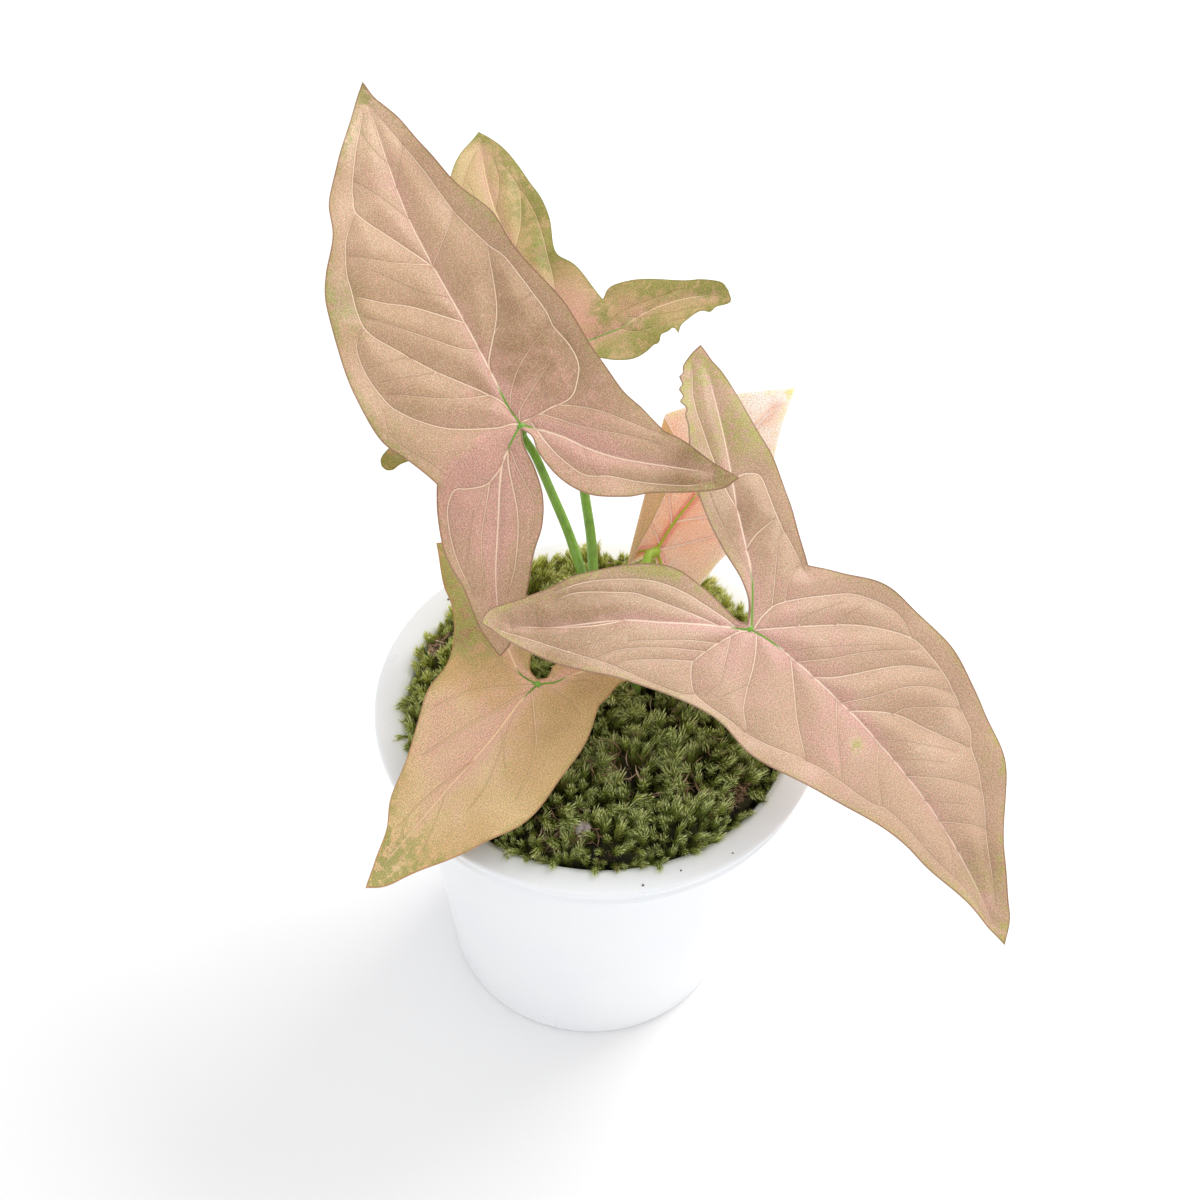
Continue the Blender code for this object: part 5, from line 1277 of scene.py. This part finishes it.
def curled(leaf, flat, rise):
    """Roll the part beyond the curl's line over a small radius."""
    spot = np.column_stack([flat, rise])
    if "curl" not in leaf:
        return spot
    curl = leaf["curl"]
    start, end = np.array(curl["start"]), np.array(curl["end"])
    along = (end - start) / np.linalg.norm(end - start)
    outward = np.array([along[1], -along[0]])
    outward *= np.sign(outward @ start)
    beyond = (flat - start) @ outward
    limit = abs(math.radians(curl["turn"]))
    angle = np.clip(beyond / curl["radius"], 0.0, limit)
    straight = np.maximum(beyond - limit * curl["radius"], 0.0)
    travel = curl["radius"] * np.sin(angle) + straight * np.cos(angle)
    lift = curl["radius"] * (1.0 - np.cos(angle)) + straight * np.sin(angle)
    rolled = beyond > 0.0
    spot[:, :2] += np.where(rolled, travel - beyond, 0.0)[:, None] * outward
    spot[:, 2] = np.where(rolled, rise * np.cos(angle) + math.copysign(1.0, curl["turn"]) * lift, rise)
    return spot


def leaf_axes(leaf):
    """The leaf's own directions: to its tip, to its left, and out of its upper face."""
    heading, climb, roll = (math.radians(leaf[k]) for k in ("heading", "climb", "roll"))
    ahead = np.array([math.cos(heading), math.sin(heading), 0.0])
    to_tip = math.cos(climb) * ahead + np.array([0.0, 0.0, math.sin(climb)])
    up = -math.sin(climb) * ahead + np.array([0.0, 0.0, math.cos(climb)])
    upper = math.cos(roll) * up + math.sin(roll) * np.cross(up, to_tip)
    return to_tip, np.cross(upper, to_tip), upper


def sheet_normals(points, triangles):
    """The upward direction at each point of a sheet."""
    corners = points[triangles]
    normals = np.cross(corners[:, 1] - corners[:, 0], corners[:, 2] - corners[:, 0])
    total = np.zeros_like(points)
    for corner in range(3):
        np.add.at(total, triangles[:, corner], normals)
    return total / np.linalg.norm(total, axis=1)[:, None]


# %% [markdown]
# ### A blade with two faces
#
# The sheet becomes a closed blade, thinner at its margin. Below, the ribs stand out as smooth ridges that
# fade towards their ends, with lower ones along the side veins. The finishes need to know, for each
# point, how near it is to a rib, a vein and the margin, and the patches of colour that were drawn.

# %% Build a blade
BLADE_HALF = 0.2
MARGIN_HALF = 0.1
RIB_RIDGE = 0.85
RIB_SPREAD = 0.8
VEIN_RIDGE = 0.2
VEIN_SPREAD = 0.45
RIB_WIDTH = 0.36
STRONG_WIDTH = 0.21
MEDIUM_WIDTH = 0.17
FINE_WIDTH = 0.14
SHARP_EDGE = 60.0


def patched(leaf, kind, flat):
    """The strength of one kind of colour patch at each point."""
    total = np.zeros(len(flat))
    for p, q, radius, strength in leaf[kind]:
        total += strength * np.exp(-((flat - (p, q)) ** 2).sum(axis=1) / radius ** 2)
    return total


def blade_facts(leaf, flat, gaps, veins, number):
    """What the finishes need to know about each point of the flat drawing."""
    reach = np.hypot(*flat.T)
    share = reach / np.abs(flat).max()
    nearest_rib = np.argmin([distance_to(flat, [rib]) for rib in veins["rib"]], axis=0)
    green_reach = np.array(leaf["sap"])[nearest_rib]
    blush = patched(leaf, "blush", flat)
    if "crease" in leaf:
        blush += 0.8 * past_crease(leaf, flat) * np.exp(-gaps["crease"] / 7.0)
    vein = nearness(flat, veins["strong"], STRONG_WIDTH)
    vein = np.minimum(vein, nearness(flat, veins["medium"], MEDIUM_WIDTH))
    return {
        "drawing": np.column_stack([flat, np.full(len(flat), 90.0 * number)]),
        "rib": nearness(flat, veins["rib"], RIB_WIDTH),
        "vein": np.minimum(vein, nearness(flat, veins["fine"], FINE_WIDTH)),
        "halo": np.exp(-(gaps["rib"] / 2.4) ** 2) * (1.0 - 0.6 * share),
        "edge": np.minimum(gaps["margin"], 20.0),
        "sap": 1.0 - np.clip((reach / green_reach) ** 2, 0.0, 1.0),
        "light": patched(leaf, "light", flat),
        "blush": blush,
        "green": patched(leaf, "green", flat),
    }


def build_blade(name, leaf, number, finishes):
    """One leaf blade, as a closed sheet with its veins in relief."""
    loop = np.vstack([smooth_run(run, OUTLINE_STEP)[:-1] for run in leaf["outline"]])
    veins = {"rib": [tapered(rib, 1.0, 0.55) for rib in leaf["ribs"]],
             "strong": [tapered(vein, 1.0, 0.6) for vein in leaf["strong"]],
             "medium": [tapered(vein, 0.75, 0.4) for vein in leaf["medium"]],
             "fine": [tapered(vein, 0.5, 0.25) for vein in leaf["fine"]]}
    if "crease" in leaf:
        veins["crease"] = [tapered(leaf["crease"], 1.0, 1.0)]
    lines = [line for kind in veins.values() for line in kind]
    guides = [beside(rib, away) for rib in veins["rib"] for away in (-1.6, -0.75, 0.75, 1.6)]
    guides += [beside(vein, away) for vein in veins["strong"] + veins["medium"] for away in (-0.8, 0.8)]
    flat, triangles = cut_sheet(loop, lines, np.vstack(guides), YOUNG_STEP if "curl" in leaf else SHEET_STEP)
    gaps = {kind: distance_to(flat, found) for kind, found in veins.items()}
    gaps["margin"] = distance_to(flat, [np.vstack([loop, loop[:1]])])
    spot = curled(leaf, flat, blade_rise(leaf, flat, loop, gaps))
    to_tip, to_left, upper = leaf_axes(leaf)
    middle = np.array(leaf["junction"]) + spot @ np.array([to_tip, to_left, upper])
    up = sheet_normals(middle, triangles)
    taper = 1.0 - 0.8 * np.hypot(*flat.T) / np.abs(loop).max()
    half = BLADE_HALF - (BLADE_HALF - MARGIN_HALF) * np.exp(-gaps["margin"] / 0.8)
    ridge = RIB_RIDGE * taper * np.exp(-(gaps["rib"] / RIB_SPREAD) ** 2)
    ridge = np.maximum(ridge, VEIN_RIDGE * np.exp(-(gaps["strong"] / VEIN_SPREAD) ** 2))
    top = middle + up * half[:, None]
    bottom = middle - up * (half + ridge)[:, None]
    count = len(flat)
    seen = set()
    for a, b, c in triangles.tolist():
        seen.update(((a, b), (b, c), (c, a)))
    rim = np.array([edge for edge in seen if (edge[1], edge[0]) not in seen])
    rim = rim[np.lexsort(rim.T)]
    a, b = rim.T
    sides = np.vstack([np.column_stack([b, a, a + count]), np.column_stack([b, a + count, b + count])])
    faces = np.vstack([triangles, triangles[:, ::-1] + count, sides])
    which = np.concatenate([np.zeros(len(triangles)), np.ones(len(triangles) + len(sides))])
    facts = {key: np.concatenate([value, value]) for key, value in
             blade_facts(leaf, flat, gaps, veins, number).items()}
    piece = make_piece(f"{name}_veined", np.vstack([top, bottom]), faces.tolist(), finishes,
                       f"{name}_blade", facts=facts, which=which)
    piece.data.set_sharp_from_angle(angle=math.radians(SHARP_EDGE))


# %% [markdown]
# ### Leaf finishes
#
# The colour of these leaves is several things at once. There is a tan ground with a pink blush near the ribs,
# specks finer than a grain of sand, patches that are paler or darker, green mottling near the margin, and
# thin cream veins that turn sap green where they meet the stalk. `leaf_finish` lays them over each other in
# that order. The paler and darker patches are partly the leaf's own tone and partly painted light and shade,
# and a thin darker band beside each vein is painted shade in its groove. A leaf is also so thin that light
# comes through it, so a part of each colour is scattered inside the blade: a leaf with the sky behind it
# glows, and one over dark moss doesn't.

# %% Mix the leaf finishes
SAP_GREEN = (0.15, 0.36, 0.025)
YOUNG_SAP = (0.4, 0.6, 0.05)
SPECK_PINK = (0.6, 0.3, 0.22)
SPECK_GREEN = (0.42, 0.4, 0.14)


def leaf_finish(name, ground, dark, pale, blush, green, vein, edge, strength=1.0, glow=0.3, sap=SAP_GREEN):
    """A leaf's skin, from the colours of its ground, shade, light, blush, mottle, veins and edge."""
    look = Finish(name, 0.46, Specular_IOR_Level=0.35, Subsurface_Weight=glow,
                  Subsurface_Scale=0.003 * glow, Subsurface_Radius=(1.2, 0.75, 0.5))
    place = look.fact("drawing")
    clouds = look.noise(place, 0.055, 3.0)
    # The paler and darker patches, with soft clouds of random tone, are partly the leaf's own tone and partly
    # painted light and painted shade.
    light = look.maths("ADD", look.fact("light"), look.eased(clouds, 0.25, 0.75, -0.28, 0.28))
    colour = look.mixed(look.eased(light, 0.0, 1.0), ground, pale)
    colour = look.mixed(look.eased(light, 0.0, -1.0), colour, dark)
    pink = look.maths("ADD", look.maths("MULTIPLY", look.fact("halo"), 0.75), look.fact("blush"))
    pink = look.maths("ADD", pink, look.eased(look.noise(place, 0.16, 2.0), 0.4, 0.7, -0.15, 0.25))
    colour = look.mixed(look.eased(pink, 0.0, 1.1), colour, blush)
    mottle = look.eased(look.noise(place, 0.34, 4.0, 0.65), 0.34, 0.6)
    near_edge = look.eased(look.fact("edge"), 3.5, 0.3, 0.0, 0.4)
    greening = look.maths("MULTIPLY", look.maths("ADD", look.fact("green"), near_edge), mottle)
    colour = look.mixed(look.eased(greening, 0.02, 0.8, 0.0, 0.85), colour, green)
    dapple = look.noise(place, 1.2, 3.0, 0.7)
    colour = look.mixed(look.eased(dapple, 0.5, 0.64, 0.0, 0.36), colour, SPECK_PINK)
    colour = look.mixed(look.eased(dapple, 0.5, 0.36, 0.0, 0.3), colour, SPECK_GREEN)
    net = look.cells(place, 0.55)
    colour = look.mixed(look.eased(net, 0.07, 0.0, 0.0, 0.16), colour, vein)
    grain = look.noise(place, 2.9, 2.0, 0.8)
    colour = look.scaled(colour, look.eased(grain, 0.34, 0.64, 1.28, 0.66))
    thread, rib = look.fact("vein"), look.fact("rib")
    # A thin darker band along each side of every vein: painted shade in the vein's groove.
    colour = look.mixed(look.eased(thread, 4.0, 1.2, 0.0, 0.26), colour, dark)
    colour = look.mixed(look.eased(thread, 1.3, 0.5, 0.0, 0.92 * strength), colour, vein)
    rib_colour = look.mixed(look.eased(look.fact("sap"), 0.05, 0.6), vein, sap)
    colour = look.mixed(look.eased(rib, 1.15, 0.6, 0.0, 0.95), colour, rib_colour)
    rim = look.eased(look.fact("edge"), 0.6, 0.1, 0.0, 0.75)
    colour = look.mixed(rim, colour, edge)
    hills = look.eased(thread, 0.2, 3.0)
    normal = look.bump(hills, 0.7, 0.2, look.bump(net, 0.35, 0.12, look.bump(grain, 0.3, 0.06)))
    return look.finished(colour, look.eased(grain, 0.3, 0.7, 0.42, 0.54), normal)


PINK_BRONZE = leaf_finish("pink_bronze_upper", (0.52, 0.35, 0.22), (0.33, 0.2, 0.1), (0.7, 0.51, 0.36),
                          (0.62, 0.36, 0.29), (0.32, 0.32, 0.09), (0.93, 0.72, 0.54), (0.2, 0.1, 0.06))
ROSE_BRONZE = leaf_finish("rose_bronze_upper", (0.56, 0.385, 0.265), (0.35, 0.22, 0.12), (0.73, 0.55, 0.41),
                          (0.64, 0.38, 0.32), (0.42, 0.42, 0.11), (0.9, 0.7, 0.55), (0.18, 0.09, 0.06))
PINK_BRONZE_UNDER = leaf_finish("pink_bronze_under", (0.6, 0.41, 0.28), (0.46, 0.29, 0.18),
                                (0.72, 0.54, 0.42), (0.68, 0.41, 0.35), (0.42, 0.4, 0.16),
                                (0.84, 0.58, 0.48), (0.3, 0.17, 0.1))
GOLDEN = leaf_finish("golden_bronze_upper", (0.68, 0.45, 0.2), (0.38, 0.26, 0.1), (0.84, 0.62, 0.33),
                     (0.82, 0.49, 0.35), (0.36, 0.38, 0.09), (0.92, 0.68, 0.4), (0.4, 0.19, 0.09), 0.6)
GOLDEN_UNDER = leaf_finish("golden_bronze_under", (0.66, 0.46, 0.23), (0.5, 0.33, 0.15), (0.78, 0.58, 0.36),
                           (0.76, 0.5, 0.38), (0.46, 0.42, 0.15), (0.84, 0.6, 0.44), (0.4, 0.21, 0.11), 0.8)
GREEN_GOLD = leaf_finish("green_gold_upper", (0.5, 0.38, 0.16), (0.32, 0.23, 0.07), (0.64, 0.49, 0.28),
                         (0.62, 0.36, 0.26), (0.25, 0.28, 0.045), (0.8, 0.6, 0.34), (0.2, 0.22, 0.06), 0.7)
GREEN_GOLD_UNDER = leaf_finish("green_gold_under", (0.53, 0.44, 0.23), (0.4, 0.33, 0.15),
                               (0.65, 0.53, 0.33), (0.58, 0.4, 0.28), (0.36, 0.38, 0.11),
                               (0.72, 0.55, 0.37),
                               (0.28, 0.26, 0.09), 0.8)
SALMON_UPPER = leaf_finish("salmon_upper", (0.8, 0.48, 0.27), (0.64, 0.34, 0.17), (0.88, 0.62, 0.42),
                           (0.78, 0.46, 0.29), (0.45, 0.4, 0.12), (0.9, 0.66, 0.44), (0.5, 0.26, 0.14),
                           0.5, 0.8)
# The young leaf's underside colours are set close to white: partly its own pale pink and partly painted
# light, for the glow of light coming through the blade.
SALMON_UNDER = leaf_finish("salmon_under", (0.98, 0.55, 0.54), (0.95, 0.44, 0.42), (0.98, 0.86, 0.84),
                           (0.97, 0.42, 0.41), (0.66, 0.64, 0.2), (0.98, 0.84, 0.82), (0.93, 0.6, 0.56),
                           0.9, 0.9, YOUNG_SAP)

# %% Build the five blades
SKINS = {
    "upper_leaf": (PINK_BRONZE, PINK_BRONZE_UNDER, "pink_bronze_leaf"),
    "right_leaf": (ROSE_BRONZE, PINK_BRONZE_UNDER, "pink_bronze_leaf"),
    "low_leaf": (GOLDEN, GOLDEN_UNDER, "golden_bronze_leaf"),
    "rear_leaf": (GREEN_GOLD, GREEN_GOLD_UNDER, "green_gold_leaf"),
    "young_leaf": (SALMON_UPPER, SALMON_UNDER, "salmon_leaf"),
}
for number, (name, leaf) in enumerate(LEAVES.items()):
    upper_skin, under_skin, slot = SKINS[name]
    build_blade(name, leaf, number, [upper_skin, under_skin])

# %% [markdown]
# ## The stalks
#
# Each leaf has a fleshy round stalk of its own. From the soil to the blade the longest is about 110 mm. It
# is thickest in the moss, where it wraps the plant's short stem, thins on the way up, and swells again in
# a soft knee just under the blade, which lets the living leaf turn to the light. The stalk follows the
# packed route from inside the moss and grows into the rib. The young leaf's is yellower than the others.

# %% Build the stalks
STALK_FOOT = 100.0
STALK_BASE_RADIUS = 1.75
STALK_TOP_RADIUS = 1.15
STALK_SIDES = 18
STALK_STEP = 1.2
STALK_KNEE = 0.28
STALK_SHEATH = 0.5


def stalk_line(leaf):
    """The stalk's middle line, from inside the moss up to the blade."""
    to_tip, _, upper = leaf_axes(leaf)
    junction = np.array(leaf["junction"])
    neck = junction - 4.5 * upper - 2.6 * to_tip
    knee = junction - 1.6 * upper - 1.0 * to_tip
    top = junction - 0.5 * upper + 0.4 * to_tip
    low = (*leaf["foot"], STALK_FOOT)
    middle = (*leaf["foot"], MOSS_EDGE)
    return smooth_run([low, middle] + leaf["stalk"] + [tuple(neck), tuple(knee), tuple(top)], STALK_STEP)


def build_stalk(name, leaf, finish):
    """A fleshy stalk with a wider foot and a soft knee under the blade."""
    line = stalk_line(leaf)
    steps = np.linalg.norm(np.diff(line, axis=0), axis=1)
    along = np.concatenate([[0.0], np.cumsum(steps)])
    share = along / along[-1]
    radii = STALK_BASE_RADIUS + (STALK_TOP_RADIUS - STALK_BASE_RADIUS) * share
    radii += STALK_SHEATH * np.exp(-((along - 14.0) / 9.0) ** 2) * (name != "young_leaf")
    radii += STALK_KNEE * np.exp(-((along[-1] - along - 2.2) / 2.0) ** 2)
    ahead = np.gradient(line, axis=0)
    ahead /= np.linalg.norm(ahead, axis=1)[:, None]
    side = np.array([1.0, 0.0, 0.0])
    points, heights = [], []
    for centre, way, radius, mark in zip(line, ahead, radii, share):
        side = side - way * (side @ way)
        side = side / np.linalg.norm(side)
        other = np.cross(way, side)
        for corner in range(STALK_SIDES):
            turn = corner * 2.0 * math.pi / STALK_SIDES
            points.append(centre + radius * (math.cos(turn) * side + math.sin(turn) * other))
            heights.append(mark)
    faces = [tuple(reversed(range(STALK_SIDES)))]
    for ring in range(len(line) - 1):
        for i in range(STALK_SIDES):
            a, b = ring * STALK_SIDES + i, ring * STALK_SIDES + (i + 1) % STALK_SIDES
            faces.append((a, b, b + STALK_SIDES, a + STALK_SIDES))
    last = (len(line) - 1) * STALK_SIDES
    faces.append(tuple(range(last, last + STALK_SIDES)))
    make_piece(f"{name}_fleshy_stalk", points, faces, [finish], f"{name}_stalk",
               facts={"tone": heights})


def stalk_skin(name, body, top):
    """Bright sap green, paler at the foot, with fine lengthwise streaks."""
    look = Finish(name, 0.34, Specular_IOR_Level=0.5, Subsurface_Weight=0.12,
                  Subsurface_Scale=0.0015, Subsurface_Radius=(0.6, 1.0, 0.3))
    place = look.place()
    tone = look.fact("tone")
    colour = look.mixed(look.eased(tone, 0.0, 0.55), (0.36, 0.46, 0.15), body)
    colour = look.mixed(look.eased(tone, 0.75, 1.0), colour, top)
    streaks = look.noise(look.stretched(place, (1500.0, 1500.0, 90.0)), 1.0, 2.0)
    colour = look.mixed(look.eased(streaks, 0.45, 0.7, 0.0, 0.4), colour, (0.36, 0.5, 0.14))
    clouds = look.noise(place, 220.0, 2.0)
    colour = look.scaled(colour, look.eased(clouds, 0.5, 0.75, 1.0, 0.75))
    return look.finished(colour, None, look.bump(streaks, 0.3, 0.12))


fresh_green = stalk_skin("fresh_stalk_green", (0.2, 0.42, 0.04), (0.17, 0.43, 0.03))
young_green = stalk_skin("young_stalk_green", (0.33, 0.56, 0.05), (0.42, 0.64, 0.05))
for name, leaf in LEAVES.items():
    build_stalk(name, leaf, young_green if name == "young_leaf" else fresh_green)

# %% [markdown]
# ## Floor, light and the last checks
#
# The photograph is bright and nearly without shadows, like a studio shot on white. A wide pale floor runs
# up behind into a pale backdrop. An even white sky gives most of the light, and one large soft lamp behind
# and to the right, like a window, brings out the leaves' relief. The picture is shown with plain colours,
# because the softer curve that is Blender's own choice would turn the white pot grey.

# %% Lay the floor and backdrop
def pale_floor():
    """A floor that curves up into a backdrop, in one smooth sheet."""
    profile = [(-4.0, 0.0), (2.5, 0.0)]
    profile += [(2.5 + 0.8 * math.sin(t), 0.8 - 0.8 * math.cos(t)) for t in np.linspace(0.1, math.pi / 2, 14)]
    profile.append((3.3, 4.0))
    mesh = bpy.data.meshes.new("pale_floor")
    points = [(side, y, z) for y, z in profile for side in (-4.0, 4.0)]
    faces = [(2 * i, 2 * i + 1, 2 * i + 3, 2 * i + 2) for i in range(len(profile) - 1)]
    mesh.from_pydata(points, [], faces)
    mesh.polygons.foreach_set("use_smooth", np.full(len(mesh.polygons), True))
    floor = bpy.data.objects.new("pale_floor", mesh)
    bpy.context.scene.collection.objects.link(floor)
    look = Finish("pale_floor_paper", 0.9, Specular_IOR_Level=0.2)
    fibre = look.noise(look.place(), 6.0, 2.0)
    mesh.materials.append(look.finished(look.mixed(fibre, (0.93, 0.93, 0.94), (0.95, 0.95, 0.95))))


pale_floor()
print("floor laid")

# %% Hang the lights
def soft_lamp(name, place, aim, size, power):
    """A large square lamp that looks at a point."""
    lamp = bpy.data.objects.new(name, bpy.data.lights.new(name, "AREA"))
    lamp.data.size = size
    lamp.data.energy = power
    lamp.location = place
    lamp.rotation_euler = (Vector(aim) - Vector(place)).to_track_quat("-Z", "Y").to_euler()
    bpy.context.scene.collection.objects.link(lamp)


SKY = 0.94
world = bpy.data.worlds.new("white_sky")
world.use_nodes = True
world.node_tree.nodes["Background"].inputs["Color"].default_value = (1.0, 1.0, 1.0, 1.0)
world.node_tree.nodes["Background"].inputs["Strength"].default_value = SKY
bpy.context.scene.world = world
soft_lamp("key_lamp", (0.75, 0.75, 1.1), (0.0, 0.0, 0.14), 0.9, 13.0)
bpy.context.scene.view_settings.view_transform = "Standard"
print("one sky and one lamp")
